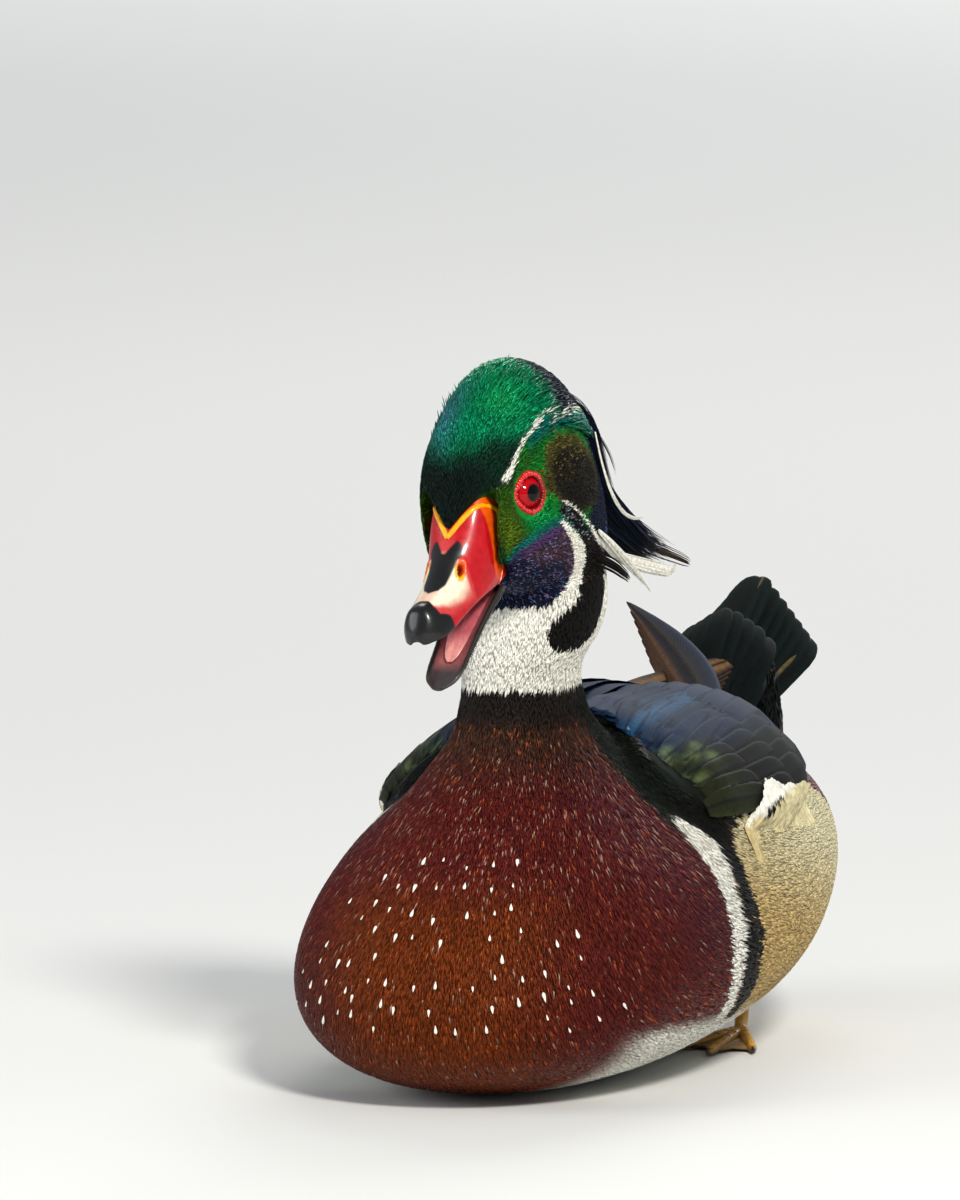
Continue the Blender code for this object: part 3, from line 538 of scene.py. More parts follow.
COAT_DEPTH, HEAD_THINNER = 1.25, 0.5
SOCKET_REACH, SOCKET_DEPTH = 2.6, 3.5
FLOOR_GAP = 0.3
points, normals = points_of(skin_mesh), normals_of(skin_mesh)
coat_depth = COAT_DEPTH - HEAD_THINNER * soft(120, 150, points[:, 2]) * (points[:, 1] < 20)
points -= normals * coat_depth[:, None]
for side in (-1, 1):
    dish = np.array((eye_place(side, EYE_RADIUS + HOLLOW_RADIUS - HOLLOW_DEPTH - 0.9)).translation)
    away = points - dish
    gap = np.linalg.norm(away, axis=1)
    pressed = gap < HOLLOW_RADIUS
    points[pressed] = dish + away[pressed] / gap[pressed, None] * HOLLOW_RADIUS
    eye = np.array(eye_place(side).translation)
    away = points - eye
    gap = np.linalg.norm(away, axis=1)
    socket = (gap < EYE_RADIUS + SOCKET_REACH) & (away @ np.array(eye_place(side).col[2][:3]) > 0)
    points[socket] = eye + away[socket] * (SOCKET_DEPTH / gap[socket, None])
points[:, 2] = np.maximum(points[:, 2], FLOOR_GAP)
skin_mesh.vertices.foreach_set("co", (points * MM).astype(np.float32).ravel())
skin_mesh.update()
skin_points, skin_normals = points, normals_of(skin_mesh)
skin_faces = [tuple(p.vertices) for p in skin_mesh.polygons]
SKIN = BVHTree.FromPolygons(skin_points.tolist(), skin_faces)
SKIN_CORNERS = np.array([f[:3] for f in skin_faces])
print("skin spans", np.round(skin_points.min(0)), np.round(skin_points.max(0)))

# %% [markdown]
# ## The markings
#
# A drake's pattern is a map: sharp white lines and bars, a black band on the side of the neck, and glossy
# fields whose green runs into violet and bronze. A picture could be laid over the bird, but it would smear
# round the curves. Instead each marking is an outline of a few points, seen from the side, and a function
# gives the colour and the gloss of any point of the bird. The skin and every feather ask the same function,
# so they always agree.

# %% Colours and outlines
def ink(red, green, blue, gloss=0.0):
    """A colour as a screen shows it, turned into light, with how glossy it is."""
    value = np.array((red, green, blue), float) / 255
    light = np.where(value <= 0.04045, value / 12.92, ((value + 0.055) / 1.055) ** 2.4)
    return np.array((*light, gloss))


def laid_over(under, over, mask):
    return under + (np.asarray(over) - under) * np.asarray(mask)[:, None]


def filled(tone, points):
    """One ink for each of the points."""
    return np.repeat(np.asarray(tone, float)[None], len(points), 0)


def layered(colour, *layers):
    """Lays inks over the colours, one after another, each through its own mask."""
    for tone, mask in layers:
        colour = laid_over(colour, INK[tone] if isinstance(tone, str) else tone, mask)
    return colour


def blot(across, up, middle, size):
    """1 at the middle of a soft round blot, fading out over its size."""
    return np.exp(-((across - middle[0]) / size[0]) ** 2 - ((up - middle[1]) / size[1]) ** 2)


def reach_to(points, line, closed=False):
    """How far each point is from a bent line, and where along it the nearest place is."""
    line = np.asarray(line, float)
    if closed:
        line = np.vstack([line, line[:1]])
    best, place = np.full(len(points), 1e9), np.zeros(len(points))
    for k in range(len(line) - 1):
        way = line[k + 1] - line[k]
        f = np.clip(((points - line[k]) @ way) / (way @ way), 0, 1)
        gap = np.linalg.norm(points - line[k] - f[:, None] * way, axis=1)
        place = np.where(gap < best, k + f, place)
        best = np.minimum(gap, best)
    return best, place


def depth_in(points, outline):
    """How far each point lies inside a closed outline. It is less than zero outside."""
    outline = np.asarray(outline, float)
    gap, _ = reach_to(points, outline, True)
    inside = np.zeros(len(points), bool)
    for (x0, y0), (x1, y1) in zip(outline, np.roll(outline, -1, axis=0)):
        if y0 == y1:
            continue
        crosses = (y0 > points[:, 1]) != (y1 > points[:, 1])
        x_at = x0 + (points[:, 1] - y0) / (y1 - y0) * (x1 - x0)
        inside ^= crosses & (points[:, 0] < x_at)
    return np.where(inside, gap, -gap)


INK = {
    "black green": ink(4, 20, 16, 0.25),
    "emerald": ink(0, 140, 92, 0.8),
    "bright green": ink(24, 172, 98, 0.8),
    "steel": ink(52, 112, 132, 0.75),
    "blue black": ink(7, 14, 30, 0.2),
    "olive": ink(40, 80, 14, 0.6),
    "gold green": ink(120, 136, 22, 0.6),
    "grass": ink(6, 128, 40, 0.75),
    "teal": ink(4, 112, 104, 0.8),
    "dark green": ink(2, 46, 30, 0.4),
    "midnight": ink(10, 20, 44, 0.15),
    "oval": ink(22, 19, 12, 0.15),
    "oval gold highlight": ink(74, 54, 26, 0.3),
    "violet": ink(84, 58, 106, 0.5),
    "plum": ink(70, 44, 52, 0.25),
    "navy": ink(14, 20, 46, 0.25),
    "white": ink(240, 238, 226),
    "black": ink(8, 7, 6, 0.05),
    "soot": ink(24, 18, 14, 0.15),
    "chestnut": ink(92, 26, 22, 0.35),
    "purple": ink(82, 24, 34, 0.4),
    "lit orange brown": ink(112, 46, 8, 0.3),
    "bronze": ink(70, 44, 32, 0.45),
    "buff": ink(198, 168, 106),
    "pale buff": ink(216, 206, 164),
    "maroon": ink(84, 22, 16, 0.3),
    "back": ink(14, 20, 14, 0.15),
    "rump": ink(5, 10, 10, 0.12),
}
print("inks", len(INK))

# %% Outlines on the head, as forward and up on its own axes
BROW = ((12.6, 8.8), (10.6, 10.0), (7.8, 11.3), (0.7, 15.6), (-7.8, 18.7), (-14, 19.7), (-20.5, 20.2))
BROW_WIDE = (1.0, 1.0, 0.7, 0.5, 0.36, 0.2, 0.02)
SECOND_BROW = ((-15.4, 17.0), (-23.1, 16.9), (-31.3, 16.4), (-38.5, 14.8), (-44, 12.0))
SECOND_WIDE = (0.05, 0.4, 0.6, 0.45, 0.15)
THIRD_BROW = ((-37.9, 12.3), (-41.5, 9.3), (-44.6, 5.0))
CREST_LINE = ((-45.6, 2.0), (-46.0, -3), (-46.8, -12), (-48, -20))
EYE_LINE = ((-12.6, -6.8), (-19.7, -12.9), (-25.4, -19.3), (-30.7, -26.6), (-38, -33.5))
EYE_LINE_WIDE = (0.15, 0.3, 0.45, 0.9, 1.4)
WHITE_THROAT = ((-8.6, -12.4), (-11.5, -13.4), (-18.2, -20), (-23.4, -27.2), (-24, -33.5), (-21, -39),
                (-30, -44), (-37, -38), (-44, -44), (-50, -60), (-52, -90), (40, -90), (40, -24),
                (25, -19.5), (18, -25.0), (10, -29.5), (4, -33), (-2, -36.5), (-10.3, -39.4),
                (-15.2, -37.6), (-17.3, -33.9), (-16.5, -28.1), (-14.2, -21.5), (-9.9, -14.2))
BLACK_BAND = ((-9.5, -10), (-12.5, -12.8), (-18.5, -20.0), (-23.9, -28.0), (-24.4, -34.0), (-21, -39.5),
              (-14, -42), (-9.5, -43.5), (-6.2, -46.5), (-5.5, -51.0), (-8, -54.2), (-16.0, -56.0),
              (-25, -53.8), (-29.9, -48), (-37.1, -40.6), (-33, -31), (-26.2, -22.8), (-19.9, -13.5),
              (-13, -7.4))
OVAL = ((-10, 6.5), (-14, 10.8), (-21.5, 11.2), (-31.5, 7.8), (-40, -0.8), (-40, -8.3), (-34, -15.0),
        (-22.5, -14.5), (-13, -7.8), (-8.2, -0.5))
CHEEK_TOP = np.array(((-20, -24), (-16, -18), (-12, -14.4), (-10.5, -12.9), (-4.9, -12.1), (3.5, -11.8),
                     (13.1, -11.9), (16.6, -13.2), (20, -17)), float)
TEAL_LINE = ((-4, 16.0), (-14, 17.6), (-29.4, 14.6), (-40, 9.4), (-45, 1.2))
SCALES = ((-12, -8), (-19, -14), (-24, -20.5), (-27, -27), (-22, -24), (-15, -16.5), (-10.5, -11.5))


def white_stroke(colour, flat, line, wide):
    """Lays a tapering white line over the colours."""
    gap, place = reach_to(flat, line)
    width = np.interp(place, np.arange(len(line)), np.broadcast_to(wide, len(line)))
    return laid_over(colour, INK["white"], soft(0.35, -0.2, gap - width))


def head_paint(places):
    """Colour and gloss of points given on the head's own axes."""
    left, forward, up = places[:, 0], -places[:, 1], places[:, 2]
    flat = np.stack([forward, up], 1)
    brow = np.interp(forward, (-46, -44, -38, -31, -23, -18, -7.8, 0.7, 7.8, 12.5, 16.4, 24, 30),
                     (8, 11, 14.5, 16.5, 17.5, 19, 18.7, 15.6, 11.3, 8.9, 5.6, -2, -8))
    # Green round the eye: gold towards the bill, teal under the brow.
    gap, _ = reach_to(flat, TEAL_LINE)
    colour = layered(
        filled(INK["grass"], places),
        ("olive", soft(5, 12, forward) * soft(-16, -10, up)),
        ("gold green", blot(forward, up, (15.5, -7), (4, 7)) * 0.4),
        ("black green", soft(3.5, 6, up - 0.5 * forward + 4) * soft(1, 9, forward) * 0.75),
        ("bright green", blot(forward, up, (-1, -9.5), (7, 2.6)) * 0.7),
        ("olive", blot(forward, up, (-2, 11.5), (7, 3)) * 0.8),
        ("teal", np.exp(-(gap / 2.6) ** 2) * soft(2, -8, forward)),
        ("black green", soft(17.5, 20.5, forward) * 0.9))
    # The dark oval behind the eye, with a painted highlight of gold along its upper edge, and the blue-black
    # crest behind it.
    inside = depth_in(flat, OVAL)
    rear = np.interp(up, (-30, -18, -14, -6, 2, 10), (-25, -27, -36, -41.5, -43.5, -48))
    colour = layered(
        colour,
        ("black green", soft(4.5, 0, forward - rear) * soft(16, 8, up) * 0.7),
        ("midnight", soft(2.0, -3.0, forward - rear) * soft(16, 8, up)),
        ("oval gold highlight", soft(-2.6, 0.8, inside) * 0.9),
        ("oval", soft(-1.0, 3.5, inside + 0.2 * (-4 - up))))
    # The cheek: teal, violet, plum and navy, one below another.
    fall = np.interp(forward, *CHEEK_TOP.T) - up
    within = soft(19.5, 17.0, forward + 0.12 * (up + 14)) * soft(-25, -19, forward)
    under = np.interp(forward, (-16, 0, 8, 14, 18), (15, 11.5, 7, 2.5, 0.5))
    colour = layered(
        colour,
        ("teal", soft(-2.2, -0.2, fall) * within),
        ("violet", soft(0.2, 2.0, fall) * within),
        ("plum", soft(2.4, 5.5, fall) * within),
        ("navy", soft(-2.5, 2.5, fall - under) * within),
        ("black green", soft(16, 19.5, forward) * soft(-12, -16, up) * 0.9))
    # The crown: a painted highlight of bright emerald in the middle and a painted sheen of steel blue to the
    # right, where the light catches the gloss, and black at the forehead and the rear.
    edge = np.interp(np.abs(left), (0, 8, 14, 15.6, 17), (13.5, 10.5, 1.5, -7, -12))
    painted_highlight = soft(6.5, -6.0, forward - edge) * soft(-33, -22, forward + 0.25 * np.abs(left))
    crown = layered(
        filled(INK["black green"], places),
        ("dark green", soft(21, 13, forward + 0.15 * np.abs(left)) * 0.8),
        ("emerald", painted_highlight),
        ("bright green", painted_highlight * blot(left, forward, (9, -6), (5, 9)) * 0.8),
        ("steel", painted_highlight * soft(3, -6, left) * soft(-18, 2, forward) * 0.75),
        ("midnight", soft(-19, -29, forward + 0.3 * (up - 30))))
    colour = laid_over(colour, crown, soft(-0.3, 0.6, up - brow))
    # The white lines, the white throat and the black band.
    for line, wide in ((BROW, BROW_WIDE), (SECOND_BROW, SECOND_WIDE), (THIRD_BROW, 0.28),
                       (CREST_LINE, 0.45)):
        colour = white_stroke(colour, flat, line, wide)
    for tone, outline in (("white", WHITE_THROAT), ("black", BLACK_BAND)):
        colour = laid_over(colour, INK[tone], soft(-0.2, 0.3, depth_in(flat, outline)))
    return white_stroke(colour, flat, EYE_LINE, EYE_LINE_WIDE)


def head_glints_and_scales(places, colour, draw):
    """Paints glints, lighter specks of painted highlight, on a few feathers of the head, and pale-edged
    scales behind the cheek.
    """
    local = moved(places, HEAD_BACK)
    flat = np.stack([-local[:, 1], local[:, 2]], 1)
    chance = draw.random(len(places))
    fall = np.interp(flat[:, 0], *CHEEK_TOP.T) - flat[:, 1]
    dark = colour[:, :3].sum(1) < 0.16
    band = depth_in(flat, BLACK_BAND)
    cheek = dark & (fall > 3) & (flat[:, 0] < 18) & (flat[:, 1] > -40) & (band < -1)
    scaled, oval = depth_in(flat, SCALES) > 0, depth_in(flat, OVAL) > -3
    # Lilac and blue specks on the dark cheek, gold specks along the top of the oval and brightened green
    # feathers are painted glints.
    colour = layered(
        colour,
        (ink(150, 120, 168, 0.5), cheek * (chance < 0.10) * 0.6),
        (ink(70, 110, 150, 0.6), cheek * (chance > 0.91) * 0.6),
        (ink(150, 176, 190, 0.3), scaled * (chance < 0.22) * 0.8),
        (ink(84, 58, 38, 0.3), (band > 0) * (chance < 0.10) * 0.7),
        (ink(140, 122, 40, 0.6), oval * (chance < 0.12) * soft(-6, 6, flat[:, 1]) * 0.8))
    green = (colour[:, 1] > 0.08) & (colour[:, 0] < 0.1)
    return laid_over(colour, colour * (1.7, 1.7, 1.9, 1), green * (chance > 0.86) * 0.8)


print("outlines on the head", len(WHITE_THROAT), len(BLACK_BAND), len(OVAL))

# %% Outlines on the body, as back and up
WHITE_BAR = ((-39.2, 84.2), (-41.3, 78.3), (-42.8, 72.4), (-44.2, 65.8), (-46.6, 58.8), (-50.5, 50.7),
             (-56.0, 43.2), (-57.5, 34), (-57, 20), (-47, 19), (-50.2, 31.9), (-46.0, 41.8), (-42.0, 47),
             (-38.6, 55.1), (-36.2, 60.5), (-31.6, 67.2), (-28.4, 74.6), (-30.1, 79.8), (-34.5, 84.6))
BLACK_BAR = ((-30.5, 88), (-29.4, 79.8), (-28.4, 74.6), (-31.6, 67.2), (-36.2, 60.5), (-38.6, 55.1),
             (-42.0, 47), (-46.0, 41.8), (-49.0, 31.9), (-47, 19), (-36, 18), (-34.5, 30), (-34.0, 37.4),
             (-30.4, 45.5), (-28.0, 56.6), (-22.3, 67.1), (-19.5, 72.8), (-14, 78), (-20, 88))
FLANK_TOP = np.array(((-30, 66), (-22, 71), (-8, 79), (-1, 83), (14, 95), (33, 99), (58, 94), (95, 68),
                     (120, 55)))


def body_paint(places):
    """Colour and gloss of points on the body."""
    x, y, z = places.T
    side = np.abs(x)
    flat = np.stack([y, z], 1)
    # A lighter orange brown down the lower middle of the breast is a painted highlight where the light falls
    # on it.
    middle = soft(80, 58, z) * soft(52, 18, np.abs(x + 2)) * soft(-84, -118, y)
    # Back, rump and tail coverts.
    on_back = soft(-30, -18, y + (z - 95) * 0.6) * soft(78, 86, z + side * 0.15)
    hind_neck = soft(-52, -36, y + (z - 110) * 0.25) * soft(92, 100, z)
    rump_side = soft(66, 80, y) * soft(150, 132, y) * soft(54, 64, z) * soft(114, 102, z) * soft(12, 24, side)
    # Flanks, with the belly white below them.
    top = np.interp(y, *FLANK_TOP.T)
    flank = soft(-46, -43, y + (z - 30) * -0.2) * soft(104, 92, y) * soft(0.8, -0.8, z - top)
    pale = soft(40, 84, z + 0.3 * y)[:, None]
    return layered(
        filled(INK["chestnut"], places),
        ("purple", soft(-98, -60, y) * soft(30, 52, z) * 0.8),
        ("lit orange brown", middle),
        ("bronze", soft(92, 114, z) * soft(10, -10, y)),
        ("soot", soft(113, 121, z + 0.02 * x) * soft(10, -10, y)),
        ("back", np.maximum(on_back, hind_neck)),
        ("back", soft(-46, -40, y) * soft(72, 82, z)),
        ("rump", soft(84, 98, y)),
        ("maroon", rump_side),
        (INK["buff"] * (1 - pale) + INK["pale buff"] * pale, flank),
        ("white", soft(21, 14, z + 0.05 * y) * soft(-118, -96, y) * soft(112, 96, y)),
        ("black", soft(-0.3, 0.5, depth_in(flat, BLACK_BAR)) * soft(14, 20, z)),
        ("white", soft(-0.3, 0.5, depth_in(flat, WHITE_BAR)) * soft(12, 18, z)))


def body_glints_and_marks(places, colour, draw):
    """Paints glints, pale and orange specks of painted highlight, on a few feathers of the breast, and
    scallops the flank with fine wavy lines.
    """
    x, y, z = places.T
    chance = draw.random(len(places))
    red = (colour[:, 0] > 2.2 * colour[:, 1]) & (y < -20)
    pale = soft(60, 78, z) * soft(112, 98, z) + 0.25
    # Pale and orange specks on the breast are painted glints.
    colour = laid_over(colour, ink(176, 142, 122, 0.4), red * (chance < 0.045 * pale) * 0.75)
    colour = laid_over(colour, ink(190, 92, 40, 0.4), red * (chance > 0.95) * 0.5)
    colour = laid_over(colour, colour * (0.5, 0.5, 0.5, 1), red * (chance > 0.36) * (chance < 0.46) * 0.8)
    rump = (colour[:, 0] > 2.2 * colour[:, 1]) & (y > 60)
    colour = laid_over(colour, ink(150, 66, 34, 0.3), rump * (chance < 0.16) * 0.8)
    wave = np.sin((y * 0.9 + 1.2 * np.sin(z * 0.5) + 0.8 * np.sin(z * 1.3 + y * 0.2)) * 2.4)
    buff = (colour[:, 0] > 0.2) & (colour[:, 2] < 0.45 * colour[:, 0])
    return laid_over(colour, colour * (0.7, 0.66, 0.58, 1), buff * soft(0.2, 0.9, wave) * 0.6)


COLLAR_Z = 128.0


def markings(places):
    """Colour and gloss of any point of the bird, in millimetres."""
    places = np.asarray(places, float)
    colour = body_paint(places)
    on_head = (places[:, 2] > COLLAR_Z) & (places[:, 1] < 20)
    colour[on_head] = head_paint(moved(places[on_head], HEAD_BACK))
    return colour


add_colour(skin_mesh, markings(skin_points))
print("skin marked at", len(skin_points), "points")

# %% [markdown]
# ## Finishes that read the markings
#
# A feather's colour has two parts: pigment, which is dull, and the structure of its barbs, which shines
# like metal. One number for each point says how much it shines. It drives the metallic and roughness inputs
# of one shader, so a white bar stays chalky beside a glossy green. A fine noise roughens the colour as
# barbs do.

# %% Add a node in one line
def wire(tree, node, inputs):
    """Joins each named input to another node's output, or sets it to a value."""
    for socket, source in inputs.items():
        if isinstance(source, bpy.types.NodeSocket):
            tree.links.new(source, node.inputs[socket])
        else:
            node.inputs[socket].default_value = source


def add_node(tree, kind, inputs=None, **settings):
    made = tree.nodes.new(kind)
    for key, value in settings.items():
        setattr(made, key, value)
    wire(tree, made, inputs or {})
    return made


def mapped(tree, source, low, high, start=0.0, end=1.0):
    """An output that runs from low to high while the source runs from start to end."""
    spans = {"Value": source, "From Min": start, "From Max": end, "To Min": low, "To Max": high}
    return add_node(tree, "ShaderNodeMapRange", spans).outputs["Result"]


# %% Make the plumage finishes
GRAIN_RELIEF = 0.0003


def grained(name, grain, detail, tones, bump):
    """A finish that takes its colour from the mesh, with a fine noise in its tone and its relief."""
    made = bpy.data.materials.new(name)
    made.use_nodes = True
    tree = made.node_tree
    colour = add_node(tree, "ShaderNodeAttribute", attribute_name="coat").outputs["Color"]
    where = add_node(tree, "ShaderNodeTexCoord").outputs["Object"]
    noise = add_node(tree, "ShaderNodeTexNoise",
                     {"Vector": where, "Scale": grain, "Detail": detail}).outputs["Fac"]
    tone = mapped(tree, noise, *tones, 0.3, 0.7)
    mixed = add_node(tree, "ShaderNodeVectorMath", {0: colour, "Scale": tone}, operation="SCALE")
    raised = add_node(tree, "ShaderNodeBump", {"Height": noise, "Strength": bump, "Distance": GRAIN_RELIEF})
    shader = tree.nodes["Principled BSDF"]
    wire(tree, shader, {"Base Color": mixed.outputs["Vector"], "Normal": raised.outputs["Normal"]})
    return made, tree, shader, noise


def plumage_finish(name, grain, bump, dull, shiny, metal, specular=0.3):
    """A finish that takes colour and gloss from the mesh, with a fine grain."""
    made, tree, shader, _ = grained(name, grain, 4, (0.72, 1.18), bump)
    gloss = add_node(tree, "ShaderNodeAttribute", attribute_name="gloss").outputs["Fac"]
    wire(tree, shader, {"Metallic": mapped(tree, gloss, 0.0, metal),
                        "Roughness": mapped(tree, gloss, dull, shiny), "Specular IOR Level": specular})
    return made


PLUMAGE = plumage_finish("plumage", 900, 0.2, 0.6, 0.3, 0.75, 0.14)
SKIN_FINISH = plumage_finish("feathered skin", 600, 0.4, 0.75, 0.5, 0.3, 0.1)
skin_mesh.materials.clear()
skin_mesh.materials.append(SKIN_FINISH)
piece("skin", skin_mesh, "body_plumage", "torso", "neck", "head")

# %% [markdown]
# ## Small feathers
#
# The body wears tens of thousands of small feathers, laid like tiles from the bill backwards. Particle hair
# would be easy, but it isn't mesh and is lost when the model is saved for others. So each feather is a
# closed sliver of a few triangles: a root sunk in the skin, one or two three-sided rings and a tip. Three
# nearest-place looks at the skin bend it along the body, and all the slivers of a region are joined in one
# mesh.

# %% Choose the roots
def roots_on(surface, first, last, spacing, seed, keep=None, grid=(240, 240)):
    """Roots spread evenly over a surface, with the way the feathers lie there."""
    draw = np.random.default_rng(seed)
    at_step, turn_step = (last - first) / grid[0], 2 * math.pi / grid[1]
    at, turn = np.meshgrid(first + at_step * (np.arange(grid[0]) + 0.5),
                           turn_step * (np.arange(grid[1]) + 0.5),
                           indexing="ij")
    down = surface(at + at_step / 2, turn) - surface(at - at_step / 2, turn)
    about = surface(at, turn + turn_step / 2) - surface(at, turn - turn_step / 2)
    area = np.linalg.norm(np.cross(down, about), axis=-1).ravel()
    total = np.cumsum(area)
    count = int(total[-1] / spacing ** 2)
    picks = np.searchsorted(total, (np.arange(count) + draw.random(count)) / count * total[-1])
    picks = np.minimum(picks, len(area) - 1)
    at = at.ravel()[picks] + at_step * (draw.random(count) - 0.5)
    turn = turn.ravel()[picks] + turn_step * (draw.random(count) - 0.5)
    places = surface(at, turn)
    lie = unit(surface(at + 0.01, turn) - surface(at - 0.01, turn))
    chosen = np.ones(count, bool) if keep is None else keep(places)
    unwrap = np.stack([turn / (2 * math.pi), (at - first) / (last - first)], 1)
    return places[chosen], lie[chosen], unwrap[chosen]


def settled(places):
    """The nearest place of the skin to each point, and the way the skin faces there."""
    on, facing = np.empty((len(places), 3)), np.empty((len(places), 3))
    gap = np.empty(len(places))
    for k, place in enumerate(places.tolist()):
        spot, _, face, gap[k] = SKIN.find_nearest(place)
        on[k] = spot
        facing[k] = skin_normals[SKIN_CORNERS[face]].sum(0)
    return on, unit(facing), gap


# %% Shape the feathers
def feathers(name, roots, lie, unwrap, size, seed, rings=1, tint=0.2, ragged=9.0, sink=0.3,
             tones=(1.0, 1.0), thick=0.16, colour_of=markings, specks=None, slot="body_plumage"):
    """One mesh of small closed feathers. size is length, width and lift, each for all or for each root."""
    draw = np.random.default_rng(seed)
    on, facing, gap = settled(roots)
    near = gap < 3.0
    on, facing, lie, unwrap, count = on[near], facing[near], lie[near], unwrap[near], int(near.sum())
    length, width, lift = (np.broadcast_to(v, near.shape)[near] for v in size)
    length = length * (0.8 + 0.4 * draw.random(count))
    lie = unit(lie - facing * (lie * facing).sum(1)[:, None])
    cross = np.cross(facing, lie)
    lie = unit(lie + cross * np.radians(ragged) * draw.normal(size=count)[:, None])
    cross = np.cross(facing, lie)
    middle, middle_up, _ = settled(on + lie * (length * 0.5)[:, None])
    tip, tip_up, _ = settled(on + lie * length[:, None])
    stand = lift * (0.5 + draw.random(count))
    root = on - facing * sink
    one = root + (middle - root) * 0.62 + (facing + middle_up) * (stand * 0.42)[:, None]
    two = middle + (tip - middle) * 0.45 + middle_up * (stand * 0.95)[:, None]
    end = tip + tip_up * (stand * 0.9)[:, None]
    if rings == 1:
        two = middle + (tip - middle) * 0.1 + middle_up * (stand * 0.9)[:, None]
    half, deep = (width / 2)[:, None], thick * (0.6 + width / 2)[:, None]
    cut = [root]
    for centre, up, wide in ((one, facing, 0.85), (two, middle_up, 1.0))[2 - rings:]:
        cut += [centre - cross * half * wide, centre + cross * half * wide, centre + up * deep]
    cut.append(end)
    points = np.stack(cut, 1)
    points[:, :, 2] = np.maximum(points[:, :, 2], 0.05)
    size = points.shape[1]
    if rings == 2:
        faces = [(0, 2, 1), (0, 3, 2), (0, 1, 3), (1, 2, 5), (1, 5, 4), (2, 3, 6), (2, 6, 5), (3, 1, 4),
                 (3, 4, 6),
                 (4, 5, 7), (5, 6, 7), (6, 4, 7)]
        patch = [(0, -1), (-.8, -.3), (.8, -.3), (0, -.3), (-1, .4), (1, .4), (0, .4), (0, 1)]
    else:
        faces = [(0, 2, 1), (0, 3, 2), (0, 1, 3), (1, 2, 4), (2, 3, 4), (3, 1, 4)]
        patch = [(0, -1), (-1, .1), (1, .1), (0, .1), (0, 1)]
    corners = (np.arange(count)[:, None, None] * size + np.array(faces)[None]).reshape(-1, 3)
    mesh = mesh_of(name, points.reshape(-1, 3), corners, PLUMAGE)
    colour = colour_of(on)
    if specks:
        colour = specks(on, colour, draw)
    quiet = 1 - 0.75 * soft(0.1, 0.5, colour[:, :3].min(1))
    shade = 1 + tint * quiet * draw.normal(size=count)
    colour[:, :3] *= np.clip(shade, 0.45, 1.9)[:, None]
    colour = np.repeat(colour[:, None], size, axis=1)
    colour[:, 0, :3] *= tones[0]
    colour[:, -1, :3] *= tones[1]
    add_colour(mesh, colour.reshape(-1, 4))
    low, high = unwrap.min(0), unwrap.max(0)
    spot = 0.004 + 0.992 * (unwrap - low) / np.maximum(high - low, 1e-6)
    add_map(mesh, "OFBake", (spot[:, None] + np.array(patch)[None] * 0.0015).reshape(-1, 2))
    return piece(name, mesh, slot)


def wing_places(places):
    """How far back each place is, and how far round from straight up."""
    return places[:, 1], np.degrees(np.arctan2(np.abs(places[:, 0]), places[:, 2] - SPINE_Z))


def clear_of_wings(places):
    """True where the folded wings don't cover the body."""
    y, degrees = wing_places(places)
    low, high = wing_edges(y)
    return ~((degrees > high + 3) & (degrees < low - 3) & (y > WING_Y[0] + 4) & (y < WING_Y[1] - 4))


def off_the_head(places):
    """True where a place of the body isn't buried in the head."""
    local = moved(places, HEAD_BACK)
    forward = -local[:, 1]
    order = SKULL[::-1]
    top, low, half = (np.interp(forward, order[:, 0], order[:, k]) for k in (1, 2, 3))
    middle, rise = (top + low) / 2, (top - low) / 2
    buried = (np.abs((local[:, 2] - middle) / rise) ** 2.2 + np.abs(local[:, 0] / half) ** 2.2 < 0.85)
    return ~(buried & (forward < 27) & (forward > -52))


# %% Feather the neck, the breast, the flanks and the rump
BODY_COAT = (
    # Name, first and last section, spacing, length, width, lift and seed.
    ("throat_feathers", 0.6, 3.5, 0.62, 5.0, 0.75, 0.2, 11),
    ("neck_feathers", 3.3, 5.4, 0.72, 5.5, 0.55, 0.4, 15),
    ("breast_feathers", 5.2, 9.4, 0.76, 7.0, 0.66, 0.36, 12),
    ("flank_feathers", 9.2, 14.2, 1.08, 8.0, 0.9, 0.32, 13),
    ("rump_feathers", 14.0, 19.6, 1.3, 9.0, 1.4, 0.6, 14),
)
MOST_IN_ONE = 30000
for name, first, last, spacing, length, width, lift, seed in BODY_COAT:
    roots, lie, unwrap = roots_on(body_at, first, last, spacing, seed,
                                  lambda p: clear_of_wings(p) & off_the_head(p))
    tones = (0.96, 1.04) if name == "throat_feathers" else (0.85, 1.1)
    halves = {name: roots[:, 2] < 999}
    if len(roots) > MOST_IN_ONE:
        halves = {name + "_left": roots[:, 0] > 0, name + "_right": roots[:, 0] <= 0}
    for label, side in halves.items():
        feathers(label, roots[side], lie[side], unwrap[side], (length, width, lift), seed, ragged=6,
                 tones=tones, tint=0.15, thick=0.08, specks=body_glints_and_marks)

# %% Feather the head
def face_clear(places):
    """True where feathers grow on the head: off the bill's room, the eyes and the jaw's inside."""
    local = moved(places, HEAD_BACK)
    seen = moved(local, FACE_VIEW.inverted())
    clear = ~((depth_in(seen[:, :2], FACE_OUTLINE) > 1.5) & (seen[:, 2] > -3.5))
    for side in (-1, 1):
        eye = moved(places, eye_place(side).inverted())
        reach = np.hypot(eye[:, 0], eye[:, 1])
        corner = 1.2 * np.maximum(eye[:, 0] / np.maximum(reach, 1e-6), 0) ** 6
        clear &= ~((reach < 5.5 + corner) & (eye[:, 2] > 0))
    return clear


def section_above(places):
    """True on the crown, above the brow."""
    local = moved(places, HEAD_BACK)
    return local[:, 2] > np.interp(-local[:, 1], (-53, -20, 4, 16, 30), (0, 17, 12, 4, -10))


